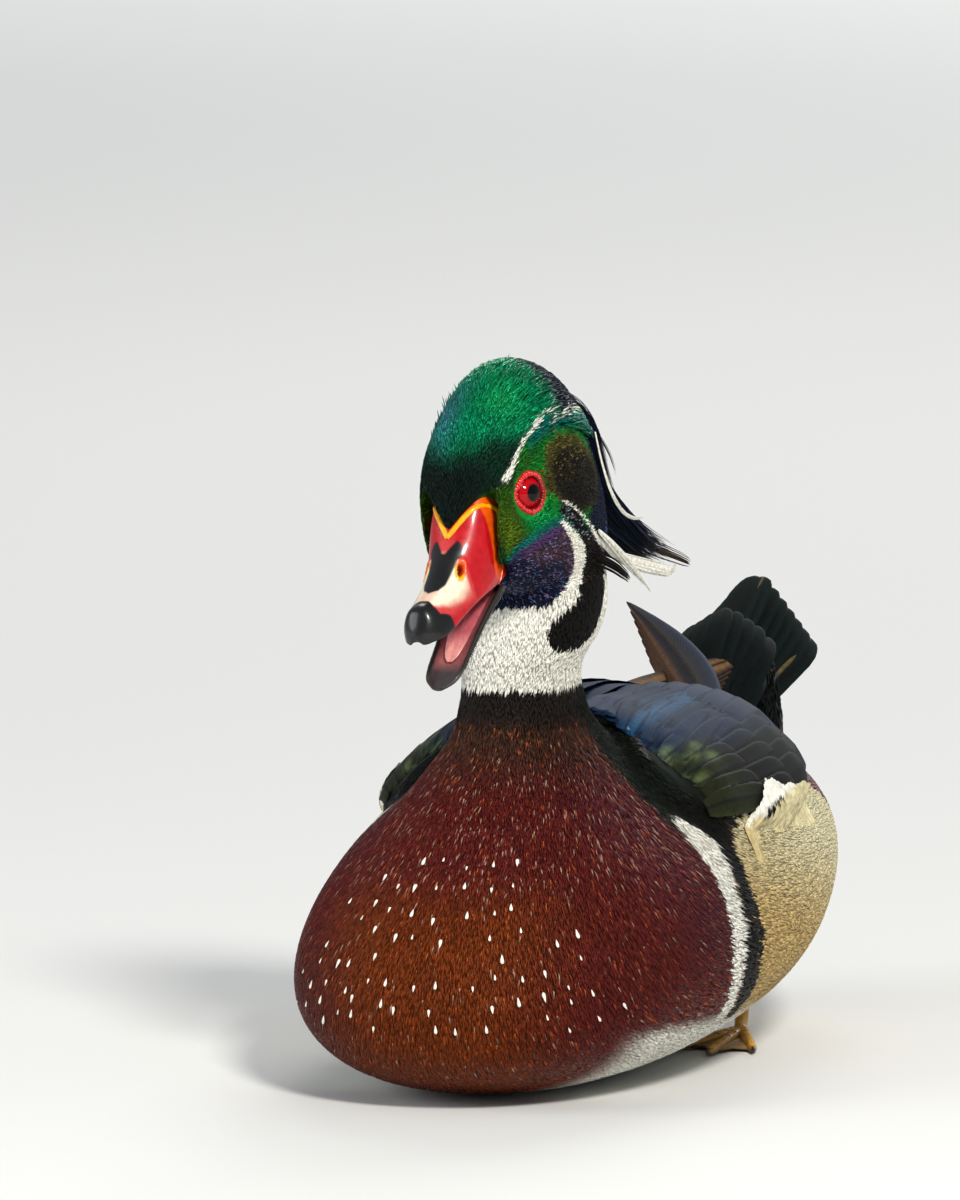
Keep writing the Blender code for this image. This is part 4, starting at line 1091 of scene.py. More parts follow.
roots, lie, unwrap = roots_on(skull_at, 0.15, 9.9, 0.5, 21, lambda p: face_clear(p) & section_above(p))
local = moved(roots, HEAD_BACK)
shaggy = soft(4, -22, -local[:, 1])
feathers("crown_feathers", roots, lie, unwrap, (4.6 + 4.4 * shaggy, 0.46, 0.45 + 2.0 * shaggy), 21,
         tint=0.3, slot="head_plumage", sink=0.25, specks=head_glints_and_scales)
roots, lie, unwrap = roots_on(skull_at, 0.15, 9.9, 0.52, 22, lambda p: face_clear(p) & ~section_above(p))
feathers("cheek_feathers", roots, lie, unwrap, (2.4, 0.52, 0.4), 22, tint=0.28, slot="head_plumage",
         sink=0.2, ragged=14, specks=head_glints_and_scales)

# %% Stand tufts on the back of the crown
def crown_tufts(count, seed):
    """Thin locks that stand up from the back of the crown and break its outline, on the head's axes."""
    draw = np.random.default_rng(seed)
    roots, lie, _ = roots_on(skull_at, 0.15, 9.9, 1.1, seed, section_above)
    on, facing, _ = settled(roots)
    local = moved(on, HEAD_BACK)
    high = (local[:, 2] > 21) & (-local[:, 1] < 6) & (-local[:, 1] > -44)
    picks = draw.choice(np.flatnonzero(high), min(count, int(high.sum())), replace=False)
    on, facing, lie = on[picks], facing[picks], lie[picks]
    rise = draw.uniform(0.9, 2.6, len(on))[:, None] * soft(6, -8, -moved(on, HEAD_BACK)[:, 1])[:, None]
    lie = lie + draw.normal(size=lie.shape) * 0.14
    t = np.linspace(0, 1, 5)[None, :, None]
    paths = on[:, None] + lie[:, None] * 4.6 * t + facing[:, None] * (rise[:, None] * t ** 1.4 + 0.2)
    colours = markings(on) * (*[0.75] * 3, 1)
    return moved(paths.reshape(-1, 3), HEAD_BACK).reshape(paths.shape), colours


tuft_paths, tuft_colours = crown_tufts(1500, 25)
print("crown tufts", len(tuft_paths))

# %% [markdown]
# ## Repeats by Geometry Nodes
#
# Beads round the eye, ridges along the bill, scutes on the toes and flecks on the breast are each one small
# form repeated along a path or over points. A node tree does this with its sizes as named inputs, so they
# can be changed without touching the tree. The result is turned into a plain mesh, because instances are
# lost on the way out.

# %% Build the node tree that repeats a form along a path
def sized_tree(name, sizes):
    """An empty tree with a geometry input, named sizes and a geometry output."""
    tree = bpy.data.node_groups.new(name, "GeometryNodeTree")
    tree.interface.new_socket("Geometry", in_out="INPUT", socket_type="NodeSocketGeometry")
    for label, kind, value in sizes:
        socket = tree.interface.new_socket(label, in_out="INPUT", socket_type=kind)
        if value is not None:
            socket.default_value = value
    tree.interface.new_socket("Geometry", in_out="OUTPUT", socket_type="NodeSocketGeometry")
    return tree


def grown_by(tree, source, name, **sizes):
    """The plain mesh that a tree makes from a source object, with its inputs set by their identifiers."""
    change = source.modifiers.new("tree", "NODES")
    change.node_group = tree
    for item in tree.interface.items_tree:
        label = item.name.lower().replace(" ", "_")
        if item.item_type == "SOCKET" and item.in_out == "INPUT" and label in sizes:
            change[item.identifier] = sizes[label]
    source.update_tag()
    bpy.context.view_layer.update()
    return baked(source, name)


def maths(tree, operation, *values):
    """The output of one sum."""
    return add_node(tree, "ShaderNodeMath", dict(enumerate(values)), operation=operation).outputs[0]


def tree_of_repeats():
    """A ball, drawn to a point by its taper, is set on each point with its length along the point's way."""
    number = "NodeSocketFloat"
    tree = sized_tree("repeat along points", (
        ("Form Length", number, 1.0), ("Form Width", number, 1.0), ("Form Height", number, 1.0),
        ("Form Taper", number, 0.0), ("Vary", number, 0.1), ("Seed", "NodeSocketInt", 1),
        ("Finish", "NodeSocketMaterial", None)))
    given = add_node(tree, "NodeGroupInput").outputs
    ball = add_node(tree, "GeometryNodeMeshIcoSphere", {"Radius": 0.5, "Subdivisions": 2}).outputs["Mesh"]
    place = add_node(tree, "GeometryNodeInputPosition").outputs["Position"]
    ahead = add_node(tree, "ShaderNodeSeparateXYZ", {0: place}).outputs["X"]
    narrow = maths(tree, "MULTIPLY_ADD", maths(tree, "MULTIPLY", given["Form Taper"], ahead), -2.0, 1.0)
    thinner = add_node(tree, "ShaderNodeCombineXYZ", {"X": 1.0, "Y": narrow, "Z": narrow}).outputs["Vector"]
    pointed = add_node(tree, "ShaderNodeVectorMath", {0: place, 1: thinner},
                       operation="MULTIPLY").outputs["Vector"]
    drop = add_node(tree, "GeometryNodeSetPosition",
                    {"Geometry": ball, "Position": pointed}).outputs["Geometry"]
    way, facing = (add_node(tree, "GeometryNodeInputNamedAttribute", {"Name": label},
                            data_type="FLOAT_VECTOR").outputs["Attribute"] for label in ("way", "facing"))
    align = "FunctionNodeAlignRotationToVector"
    turn = add_node(tree, align, {"Vector": way}, axis="X").outputs["Rotation"]
    turn = add_node(tree, align, {"Rotation": turn, "Vector": facing}, axis="Z",
                    pivot_axis="X").outputs["Rotation"]
    axes = (("X", "Length"), ("Y", "Width"), ("Z", "Height"))
    sizes = {axis: given["Form " + size] for axis, size in axes}
    sizes = add_node(tree, "ShaderNodeCombineXYZ", sizes).outputs["Vector"]
    less, more = (maths(tree, change, 1.0, given["Vary"]) for change in ("SUBTRACT", "ADD"))
    draw = add_node(tree, "FunctionNodeRandomValue", {2: less, 3: more, "Seed": given["Seed"]}).outputs[1]
    scaled = add_node(tree, "ShaderNodeVectorMath", {0: sizes, "Scale": draw},
                      operation="SCALE").outputs["Vector"]
    spread = add_node(tree, "GeometryNodeInstanceOnPoints", {
        "Points": given["Geometry"], "Instance": drop, "Rotation": turn,
        "Scale": scaled}).outputs["Instances"]
    real = add_node(tree, "GeometryNodeRealizeInstances", {"Geometry": spread}).outputs["Geometry"]
    coated = add_node(tree, "GeometryNodeSetMaterial", {"Geometry": real, "Material": given["Finish"]})
    add_node(tree, "NodeGroupOutput", {"Geometry": coated.outputs["Geometry"]})
    return tree


repeat_tree = tree_of_repeats()
print("tree nodes", len(repeat_tree.nodes))

# %% Use the tree
def repeated(name, places, ways, facings, length, width, height, finish, vary=0.1, seed=1, taper=0.0):
    """One small rounded form at each place, laid along its way with its top to its facing."""
    mesh = bpy.data.meshes.new(name + " points")
    mesh.vertices.add(len(places))
    mesh.vertices.foreach_set("co", (np.asarray(places, float) * MM).astype(np.float32).ravel())
    for label, values in (("way", ways), ("facing", facings)):
        layer = mesh.attributes.new(label, "FLOAT_VECTOR", "POINT")
        layer.data.foreach_set("vector", np.asarray(values, np.float32).ravel())
    made = grown_by(repeat_tree, loose(name + " points", mesh), name, form_length=length * MM,
                    form_width=width * MM,
                    form_height=height * MM, form_taper=taper, vary=vary, seed=seed, finish=finish)
    made.shade_smooth()
    for layer in ("way", "facing"):
        if layer in made.attributes:
            made.attributes.remove(made.attributes[layer])
    return made


# %% [markdown]
# ## Bare parts: a glossy, living finish
#
# Bill, lids and mouth are skin or horn, wet and smooth. One finish serves them all: its colour comes from
# the mesh, a fine noise breaks it up, and a clear coat gives the wet shine. The coat's strength is set on
# the shader itself.

# %% Make the finish of bare parts
def bare_finish(name, grain, bump, roughness, coat, coat_roughness=0.12, specular=0.3):
    made, tree, shader, noise = grained(name, grain, 5, (0.82, 1.12), bump)
    wire(tree, shader, {"Roughness": mapped(tree, noise, roughness * 0.8, roughness * 1.3),
                        "Coat Weight": coat, "Coat Roughness": coat_roughness,
                        "Specular IOR Level": specular})
    return made


HORN = bare_finish("bill horn", 420, 0.25, 0.34, 0.35)
WET = bare_finish("wet mouth", 500, 0.4, 0.3, 0.5)
LID = bare_finish("lid skin", 900, 0.5, 0.35, 0.5)
EYE = bare_finish("eye", 1200, 0.0, 0.12, 0.45, coat_roughness=0.02, specular=0.02)


def coloured(mesh, values):
    """Gives a mesh one colour or one for each point."""
    values = np.asarray(values, float)
    if values.ndim == 1:
        values = np.repeat(values[None], len(mesh.vertices), 0)
    add_colour(mesh, values)
    return mesh


print("bare finishes", [finish.name for finish in (HORN, WET, LID, EYE)])

# %% [markdown]
# ## Eyes
#
# The iris is scarlet with a round black pupil, and a thick scarlet lid, notched like a string of beads,
# stands round it and runs out to a point in front. The eyeball is a plain sphere whose rings run round the
# pupil, so that the pupil's edge is sharp without a texture. The lid is a tube, and the bead form is
# repeated along it by the tree.

# %% Make the eyeballs
PUPIL_EDGE = 0.452


def eyeball(side):
    """A sphere whose rings run round the axis of the pupil, with a low bulge of the cornea in front."""
    polar = [*np.linspace(0.03, 0.445, 12), 0.46, *np.linspace(0.49, 1.2, 22), *np.linspace(1.3, 3.1, 14)]
    t, a = np.meshgrid(polar, turns(72), indexing="ij")
    r = EYE_RADIUS * (1 + 0.035 * soft(0.75, 0.1, t))
    rings = np.stack([r * np.sin(t) * np.cos(a), r * np.sin(t) * np.sin(a), r * np.cos(t)], -1)
    points, faces = closed_rings(rings)
    angle = np.append(t.ravel(), [0, math.pi])
    spin = np.append(a.ravel(), [0, 0])
    streak = 0.5 + 0.5 * np.sin(spin * 41 + 2 * np.sin(spin * 7)) * np.sin(spin * 23 + 1)
    colour = layered(
        filled(ink(178, 0, 14), points),
        (ink(150, 2, 8), streak * 0.35),
        (ink(120, 2, 6), soft(0.58, 0.46, angle) * 0.8),
        (ink(70, 0, 4), soft(0.86, 1.02, angle) * 0.9),
        (ink(2, 2, 3), angle < PUPIL_EDGE))
    name = "eye_left" if side > 0 else "eye_right"
    mesh = outward(mesh_of(name, moved(points, eye_place(side)), faces, EYE))
    return piece(name.replace("eye", "eyeball"), coloured(mesh, colour), "eye", name)


for side in (1, -1):
    eyeball(side)

# %% Make the beaded lids
RING_RADIUS, RING_TUBE = 6.0, 0.95


def lid_path(count):
    """The line of the lid round an eye, drawn out to a point in front, on the eye's own axes."""
    turn = turns(count)
    corner = 1.7 * np.maximum(np.cos(turn + 0.22), 0) ** 10
    reach = RING_RADIUS + corner
    height = 3.9 - 0.25 * np.cos(turn) ** 2
    return np.stack([(reach - 0.5) * np.cos(turn), reach * np.sin(turn), height], 1)


def lid_ways(path):
    """The way along the closed line of a lid at each of its points, and the way across it."""
    along = unit(np.roll(path, -1, 0) - np.roll(path, 1, 0))
    return along, unit(np.cross(along, (0, 0, 1.0)))


def lid(side):
    path = lid_path(96)
    _, out = lid_ways(path)
    turn = turns(16)
    wave = 1 + 0.10 * np.cos(np.linspace(0, 2 * math.pi * 24, 96, endpoint=False))[:, None, None]
    rings = path[:, None] + wave * RING_TUBE * (np.cos(turn)[None, :, None] * out[:, None] * 0.95
                                             + np.sin(turn)[None, :, None] * np.array((0, 0, 1.25)))
    count, around = rings.shape[:2]
    i, j = np.meshgrid(np.arange(count), np.arange(around), indexing="ij")
    a, b = i * around + j, i * around + (j + 1) % around
    c, d = (i + 1) % count * around + (j + 1) % around, (i + 1) % count * around + j
    faces = np.stack([a, b, c, d], -1).reshape(-1, 4)
    tube = outward(mesh_of("lid", moved(rings.reshape(-1, 3), eye_place(side)), faces, LID))
    path = lid_path(40)
    along, outer = lid_ways(path)
    outer *= np.sign((outer * path).sum(1))[:, None]
    axes = Matrix(eye_place(side).to_3x3()).to_4x4()
    beads = repeated("lid beads", moved(path + outer * 0.25 + (0, 0, 0.35), eye_place(side)),
                     moved(along, axes),
                     moved(unit(outer + (0, 0, 1.0)), axes), 1.1, 2.5, 2.1, LID, 0.22, 5 + side)
    mesh = joined([tube, beads], LID)
    there = moved(points_of(mesh), eye_place(side).inverted())
    inner = np.hypot(there[:, 0], there[:, 1])
    # The lid's crest is lighter, a painted highlight, and its inner edge against the eye darker.
    colour = layered(filled(ink(206, 10, 24), there), (ink(232, 70, 72), soft(4.5, 5.4, there[:, 2]) * 0.5),
                     (ink(120, 6, 10), soft(6.0, 5.3, inner)))
    return piece("lid_left" if side > 0 else "lid_right", coloured(mesh, colour), "eye")


for side in (1, -1):
    lid(side)

# %% [markdown]
# ## The bill
#
# The upper bill is a short scoop that ends in a broad black nail. Its skin shows up between the eyes, with
# a yellow rim where the feathers begin. A subdivided cage could give this form, but here it is lofted
# finely enough to carry its own colours, because the markings are sharp: a forked black patch, a cream
# saddle, scarlet sides, an oval nostril with an orange edge. The nail is swelled out of the loft and the
# nostril is pressed in.

# %% Loft the upper bill
UPPER_BILL = np.array(((9, 9.5, -20.5, 10.0, 5.5), (15, 8.0, -20.8, 10.4, 5.0), (21, 4.0, -21.2, 10.6, 3.6),
                      (28, -3, -21.8, 9.8, 2.5), (35, -8.5, -22.8, 8.8, 2.1), (42, -12.5, -24.0, 8.3, 2.1),
                      (49, -15, -25.2, 7.9, 2.2), (54, -16.8, -25.8, 6.8, 2.3),
                      (57.5, -19.0, -25.6, 4.6, 2.3), (59, -21.5, -24.8, 2.2, 2.2)), float)
TOP_COUNT = 85
NOSTRIL = np.array((5.9, -33.6, -11.2))
BILL_RED, BILL_PINK, BILL_CREAM = ink(178, 6, 20), ink(206, 70, 70), ink(238, 224, 196)
BILL_BLACK, BILL_YELLOW, BILL_ORANGE = ink(12, 13, 14), ink(246, 168, 6), ink(228, 84, 8)


def upper_bill_places():
    row = between(UPPER_BILL, np.linspace(0, len(UPPER_BILL) - 1, 170))
    turn = np.linspace(-math.pi / 2, math.pi / 2, TOP_COUNT)
    forward, top, edge, half, full = (row[:, k, None] for k in range(5))
    x = half * swell(np.sin(turn)[None], full)
    z = edge + (top - edge) * swell(np.maximum(np.cos(turn), 0)[None], full)
    y = -forward + 0 * x
    palate = np.array([(0.93, -0.02), (0.86, 0.02), (0.78, 0.09), (0.6, 0.17), (0.4, 0.22), (0.2, 0.25),
                       (0, 0.26)])
    palate = np.concatenate([palate, [(-a, b) for a, b in palate[-2::-1]]])
    px = half * palate[:, 0]
    pz = edge + (top - edge) * palate[:, 1]
    return np.concatenate([np.stack([x, y, z], -1), np.stack([px, -forward + 0 * px, pz], -1)], 1)


def nostril_axes(local, side):
    """How far points are from a nostril, in its own half widths, how far outside it, and the way out."""
    out = unit(np.array((side * 0.86, -0.20, 0.46)))
    rel = local - NOSTRIL * (side, 1, 1)
    a, n = rel @ unit(np.array((0.15 * side, -0.75, -0.62))), rel @ out
    b = np.sqrt(np.maximum((rel ** 2).sum(1) - a ** 2 - n ** 2, 0))
    return np.hypot(a / 2.6, b / 1.25), np.abs(n), out


def pressed_bill(points):
    """Swells the nail and presses the nostrils, on the head's axes."""
    forward = -points[:, 1]
    over = soft(-25.4, -23.4, points[:, 2])
    round_nail = np.exp(-((forward - 53.6) / 2.9) ** 2 - (points[:, 0] / 5.2) ** 4)
    points += (np.array((0, -0.45, 1.0)) * 1.15) * (round_nail * over)[:, None]
    points[:, 2] -= 1.1 * soft(54.5, 59, forward) * soft(6, 2, np.abs(points[:, 0]))
    for side in (-1, 1):
        oval, off, out = nostril_axes(points, side)
        near = (off < 3.5) & (points[:, 0] * side > 1.0)
        points += out * (near * (0.45 * np.exp(-((oval - 1.25) / 0.33) ** 2)
                                 - 2.4 * soft(1.0, 0.45, oval)))[:, None]
    return points


def nostril_reach(local):
    best = np.full(len(local), 9.0)
    for side in (-1, 1):
        oval, off, _ = nostril_axes(local, side)
        near = (off < 4.5) & (local[:, 0] * side > 1.0)
        best = np.where(near, np.minimum(best, oval), best)
    return best


def bill_paint(local):
    """The colours of the upper bill."""
    x, forward, up = np.abs(local[:, 0]), -local[:, 1], local[:, 2]
    plan = np.stack([forward, x], 1)
    saddle = soft(0.8, -1.0,
                  x - np.interp(forward, (30, 32, 34, 40, 46, 50, 54), (0, 6.6, 8.2, 7.9, 6.6, 4.6, 0)))
    saddle *= soft(-20.6, -18.2, up) * soft(52, 49.5, forward + x * 0.15)
    flush = soft(2.4, 0.6, x - np.interp(forward, (28, 33, 40, 47, 52), (2, 8.0, 8.2, 7.4, 6)))
    patch = ((27.6, 3.6), (27.9, 5.2), (29.4, 6.1), (32.4, 4.7), (36, 4.3), (41, 3.9), (44, 2.6),
             (45.8, 0.0), (45.8, -3), (31.5, -3), (31.6, 0.6), (29.6, 2.0))
    nail_edge = np.interp(x, (0, 1.8, 4.0, 6.0, 7.5, 9), (49.3, 49.2, 50.7, 50.9, 47.6, 47.0))
    hole = nostril_reach(local)
    rim_side = soft(1.1, 0.2, forward - np.interp(up, (-21, -15, -8, -1), (20.4, 19.7, 18.2, 17.2)))
    return layered(
        filled(BILL_RED, local),
        (BILL_PINK, flush * soft(26, 33, forward) * soft(-22.5, -19.5, up) * 0.7),
        (BILL_CREAM, saddle * soft(30.5, 33, forward)),
        (BILL_PINK, soft(25, 29, forward) * soft(3.5, 1.5, x) * 0.35),
        (BILL_BLACK, soft(-0.25, 0.25, depth_in(plan, patch))),
        (BILL_BLACK, soft(-0.25, 0.25, forward - nail_edge)),
        (BILL_ORANGE, soft(1.65, 1.35, hole)),
        (BILL_YELLOW, soft(1.65, 1.4, hole) * soft(33.2, 34.6, forward)),
        (ink(110, 8, 4), soft(0.95, 0.7, hole)),
        (BILL_ORANGE, rim_side * soft(-21.5, -18, up)))


rings = upper_bill_places()
points, faces = closed_rings(rings)
local = pressed_bill(points.copy())
colour = bill_paint(local)
under = np.zeros(len(local), bool)
under[:rings.shape[0] * rings.shape[1]].reshape(rings.shape[:2])[:, TOP_COUNT + 2:-2] = True
colour[under] = ink(112, 40, 44)
mesh = outward(mesh_of("upper bill", moved(local, HEAD), faces, HORN))
piece("bill_top", coloured(mesh, colour), "bill", "bill_upper")
BILL = BVHTree.FromPolygons(local.tolist(), faces.tolist())

# %% Run the yellow rim along the edge of the feathers
def rim_on_bill(side, count=46):
    """The line of the feathers' edge, cast down on the bill, on the head's axes."""
    line = np.array([(0, -20.3), (5.2, -12.2), (10.2, -4.9), (11.5, -3.2), (12.0, -6.5), (11.4, -14),
        (10.9, -22), (10.6, -30)])
    at = np.linspace(0, len(line) - 1, count)
    flat = between(line, at)
    way = np.array(FACE_VIEW)[:3, 2]
    found = []
    for x, y in flat:
        start = moved([(side * x, y, 60.0)], FACE_VIEW)[0]
        hit = BILL.ray_cast(start.tolist(), (-way).tolist())[0]
        found.append(np.array(hit) if hit else np.array(BILL.find_nearest((start - way * 60).tolist())[0]))
    return np.array(found), at / (len(line) - 1)


def tube_along(path, radius, facing, flat=0.7, around=14):
    """A closed tube along an open path, lower than it is wide."""
    along = unit(np.gradient(path, axis=0))
    across = unit(np.cross(along, facing))
    up = unit(np.cross(across, along))
    turn = turns(around)
    rings = path[:, None] + radius[:, None, None] * (np.cos(turn)[None, :, None] * across[:, None]
                                                   + flat * np.sin(turn)[None, :, None] * up[:, None])
    return closed_rings(rings)


rims = []
for side in (1, -1):
    path, share = rim_on_bill(side)
    for _ in range(3):
        path[1:-1] = (path[:-2] + 2 * path[1:-1] + path[2:]) / 4
    radius = np.interp(share, (0, 0.05, 0.35, 0.43, 0.55, 0.8, 1),
                       (0.75, 0.95, 1.25, 1.35, 0.75, 0.6, 0.35))
    points, faces = tube_along(path, radius, np.array(FACE_VIEW)[:3, 2])
    mesh = outward(mesh_of("rim", moved(points, HEAD), faces, HORN))
    on = np.append(np.repeat(share, 14), [0, 1])
    rims.append(coloured(mesh, laid_over(filled(BILL_YELLOW, points), BILL_ORANGE, soft(0.42, 0.62, on))))
piece("bill_rim", joined(rims, HORN), "bill")

# %% [markdown]
# ## Lower bill and tongue
#
# The lower bill is a long shallow trough that hangs open from a hinge near the gape. Its edge is combed
# with fine ridges that strain food from water. It is lofted like the upper one and turned about the hinge,
# the ridges are the small form repeated along its edge, and the tongue lies in the trough.

# %% Loft the lower bill
LOWER_BILL = np.array(((8, -22.5, 7.0, 8.2), (16, -22.5, 6.0, 8.4), (24, -22.7, 5.0, 8.0),
                      (34, -23.6, 4.2, 7.4), (44, -25.0, 3.6, 6.9), (51, -26.0, 3.2, 6.5),
                      (55, -26.4, 2.6, 5.2), (58, -26.6, 1.6, 2.4)), float)
HINGE = Vector((0, -10.0, -21.0))
JAW_TURN = Matrix.Rotation(math.radians(20.5), 4, "X")
OPENED = HEAD @ Matrix.Translation(HINGE) @ JAW_TURN @ Matrix.Translation(-HINGE)


def lower_bill_places():
    row = between(LOWER_BILL, np.linspace(0, len(LOWER_BILL) - 1, 120))
    forward, edge, depth, half = (row[:, k, None] for k in range(4))
    turn = np.linspace(-math.pi / 2, math.pi / 2, 49)
    x = -half * np.sin(turn)[None]
    z = edge - depth * swell(np.maximum(np.cos(turn), 0)[None], 2.4)
    trough = np.array([(0.93, -0.06), (0.84, 0.02), (0.76, 0.2), (0.62, 0.40), (0.4, 0.48), (0.2, 0.5),
                       (0, 0.5)])
    trough = np.concatenate([[(-a, b) for a, b in trough], trough[-2::-1]])
    px, pz = half * trough[:, 0], edge - depth * trough[:, 1]
    outer = np.stack([x, -forward + 0 * x, z], -1)
    inner = np.stack([px, -forward + 0 * px, pz], -1)
    return np.concatenate([outer, inner], 1)


rings = lower_bill_places()
points, faces = closed_rings(rings)
forward = -points[:, 1]
share = np.abs(points[:, 0]) / np.interp(forward, *LOWER_BILL[:, [0, 3]].T)
low_edge = np.interp(forward, *LOWER_BILL[:, [0, 1]].T)
inside = np.zeros(len(points), bool)
inside[:rings.shape[0] * rings.shape[1]].reshape(rings.shape[:2])[:, 51:-2] = True
colour = filled(BILL_BLACK, points)
colour = laid_over(colour, ink(96, 94, 86), soft(50, 56, forward) * 0.7)
# A lighter band along the top edge is a painted sheen on the wet rim.
colour = laid_over(colour, ink(46, 40, 38), soft(low_edge - 1.0, low_edge - 0.1, points[:, 2]) * 0.6)
colour[inside] = laid_over(filled(ink(150, 84, 86), forward[inside]), ink(56, 50, 50),
                           soft(44, 51, forward[inside]))
mesh = outward(mesh_of("lower bill", moved(points, OPENED), faces, HORN))
piece("bill_bottom", coloured(mesh, colour), "bill_dark", "bill_lower")

# %% Comb the edges with fine ridges
comb_places, comb_ways, comb_facings = [], [], []
for side in (-1, 1):
    for forward in np.arange(17, 50, 0.85):
        half, edge, depth = (np.interp(forward, LOWER_BILL[:, 0], LOWER_BILL[:, k]) for k in (3, 1, 2))
        comb_places.append((side * half * 0.985, -forward, edge - depth * 0.22))
        comb_ways.append((side * -0.12, 0.12, -1))
        comb_facings.append((side, 0, 0.05))
turned = OPENED.to_3x3().to_4x4()
combs = repeated("comb", moved(comb_places, OPENED), moved(comb_ways, turned), moved(comb_facings, turned),
                 2.0, 0.42, 0.55, HORN, 0.12, 3)
piece("bill_comb", coloured(combs, ink(34, 33, 32)), "bill_dark")

# %% Lay the tongue in the trough
TONGUE = np.array(((9, 4.4, 2.4), (18, 4.8, 2.8), (28, 4.6, 2.6), (37, 4.0, 2.2), (44, 2.6, 1.4),
                  (46.5, 1.0, 0.8)), float)
row = between(TONGUE, np.linspace(0, 5, 60))
forward, half, thick = (row[:, k, None] for k in range(3))
floor_at = np.interp(forward, LOWER_BILL[:, 0], LOWER_BILL[:, 1] - LOWER_BILL[:, 2] * 0.5) + 0.5
turn = turns(40)[None]
x = half * np.sin(turn)
z = floor_at + thick / 2 + thick / 2 * np.cos(turn)
z -= 0.55 * np.exp(-(x / 0.7) ** 2) * (np.cos(turn) > 0)
points, faces = closed_rings(np.stack([x, -forward + 0 * x, z], -1))
mesh = outward(mesh_of("tongue", moved(points, OPENED), faces, WET))
colour = laid_over(filled(ink(176, 84, 92), points), ink(214, 140, 134), soft(34, 44, -points[:, 1]))
piece("tongue_flesh", coloured(mesh, colour), "mouth", "tongue")

# %% [markdown]
# ## The crest
#
# Long plumes grow from the back of the crown, hug the nape and sweep out behind it, blown a little to the
# left. A few broad blades would read as paper. Here many hundreds of thin locks follow the same sweep, each
# a tapered three-sided strand, and each white plume is a sheaf of the same strands whose tips end at
# different lengths.

# %% Grow strands along bent paths
def strands(name, paths, width, colours, flat=0.45):
    """One mesh of tapered strands, one along each path, on the head's axes."""
    paths = np.asarray(paths, float)
    count, stations = paths.shape[:2]
    along = unit(np.gradient(paths, axis=1))
    facing = unit(paths - np.array((0, 18.0, -14.0)))
    across = unit(np.cross(along, facing))
    up = unit(np.cross(across, along))
    taper = np.interp(np.linspace(0, 1, stations), (0, 0.15, 0.55, 0.85, 1), (0.5, 1, 1, 0.6, 0.06))
    half = np.broadcast_to(np.asarray(width, float), (count,))[:, None, None] / 2 * taper[None, :, None]
    rings = np.stack([paths - across * half, paths + across * half, paths + up * half * flat * 2], 2)
    size = stations * 3
    faces = [(0, 2, 1), (size - 3, size - 2, size - 1)]
    for k in range(stations - 1):
        for j in range(3):
            a, b = 3 * k + j, 3 * k + (j + 1) % 3
            faces += [(a, b, b + 3), (a, b + 3, a + 3)]
    corners = (np.arange(count)[:, None, None] * size + np.array(faces)[None]).reshape(-1, 3)
    mesh = mesh_of(name, moved(rings.reshape(-1, 3), HEAD), corners, PLUMAGE)
    add_colour(mesh, np.repeat(colours, size, axis=0))
    roots = paths[:, 0]
    spot = np.stack([np.arctan2(roots[:, 0], -roots[:, 1] + 60), roots[:, 2]], 1)
    spot = 0.01 + 0.98 * (spot - spot.min(0)) / np.maximum(np.ptp(spot, axis=0), 1e-6)
    ring = np.array([(-1, 0), (1, 0), (0, 0.2)])
    patch = np.concatenate([ring * (0.9, 1) + (0, -0.9 + 1.8 * k / (stations - 1))
                            for k in range(stations)])
    add_map(mesh, "OFBake", (spot[:, None] + patch[None] * 0.0015).reshape(-1, 2))
    return piece(name, mesh, "head_plumage")


def arcs(roots, middles, tips, shares, stations=9):
    """Bent paths from roots towards tips, each run for its own share of the way."""
    t = np.linspace(0, 1, stations)[None, :, None] * np.asarray(shares)[:, None, None]
    return bow(roots[:, None], middles[:, None], tips[:, None], t)


# %% Grow the crest
CREST_TIP, CREST_LOW_TIP = np.array((12, 90.0, -58.6)), np.array((6, 79.0, -55.5))
CREST_BEND, CREST_LOW_BEND = np.array((5, 48.5, -27.0)), np.array((3, 54.5, -42.0))


def crest_paths(count, seed):
    draw = np.random.default_rng(seed)
    u, s = draw.random(count), draw.uniform(-1, 1, count)
    turn = np.radians(12 + 100 * u)
    spread = s * (9.5 + 4 * np.sin(math.pi * u))
    lean = 0.86 + 0.1 * draw.random(count)
    aside = np.array((1.0, 0, 0))
    roots = np.stack([spread * 0.9, (20 + 27 * np.sin(turn)) * lean, (-4 + 34 * np.cos(turn)) * lean], 1)
    middles = CREST_BEND + (CREST_LOW_BEND - CREST_BEND) * u[:, None] + aside * (spread * 0.95)[:, None]
    middles += draw.normal(size=(count, 3)) * 0.8
    tips = CREST_TIP + (CREST_LOW_TIP - CREST_TIP) * u[:, None] + aside * (spread * 0.4)[:, None]
    tips += draw.normal(size=(count, 3)) * (1.0, 1.3, 1.1)
    shares = np.where(draw.random(count) < 0.35, draw.uniform(0.8, 1.0, count),
                      draw.uniform(0.4, 0.85, count))
    return arcs(roots, middles, tips, shares * (1 - 0.12 * s ** 2)), u, s


paths, u, s = crest_paths(1500, 31)
draw = np.random.default_rng(32)
colour = filled(INK["blue black"], paths)
# A blue tint on half the strands of the left side is a painted sheen.
colour = laid_over(colour, ink(16, 36, 58, 0.6), soft(0.2, 0.8, s) * (draw.random(len(u)) < 0.5) * 0.8)
colour = laid_over(colour, ink(44, 30, 34, 0.4), (draw.random(len(u)) < 0.08) * 0.7)
colour[:, :3] *= (1 + 0.3 * draw.normal(size=len(u)).clip(-2, 2))[:, None].clip(0.4, 2)
strands("crest_plumes", paths, 0.85, colour)

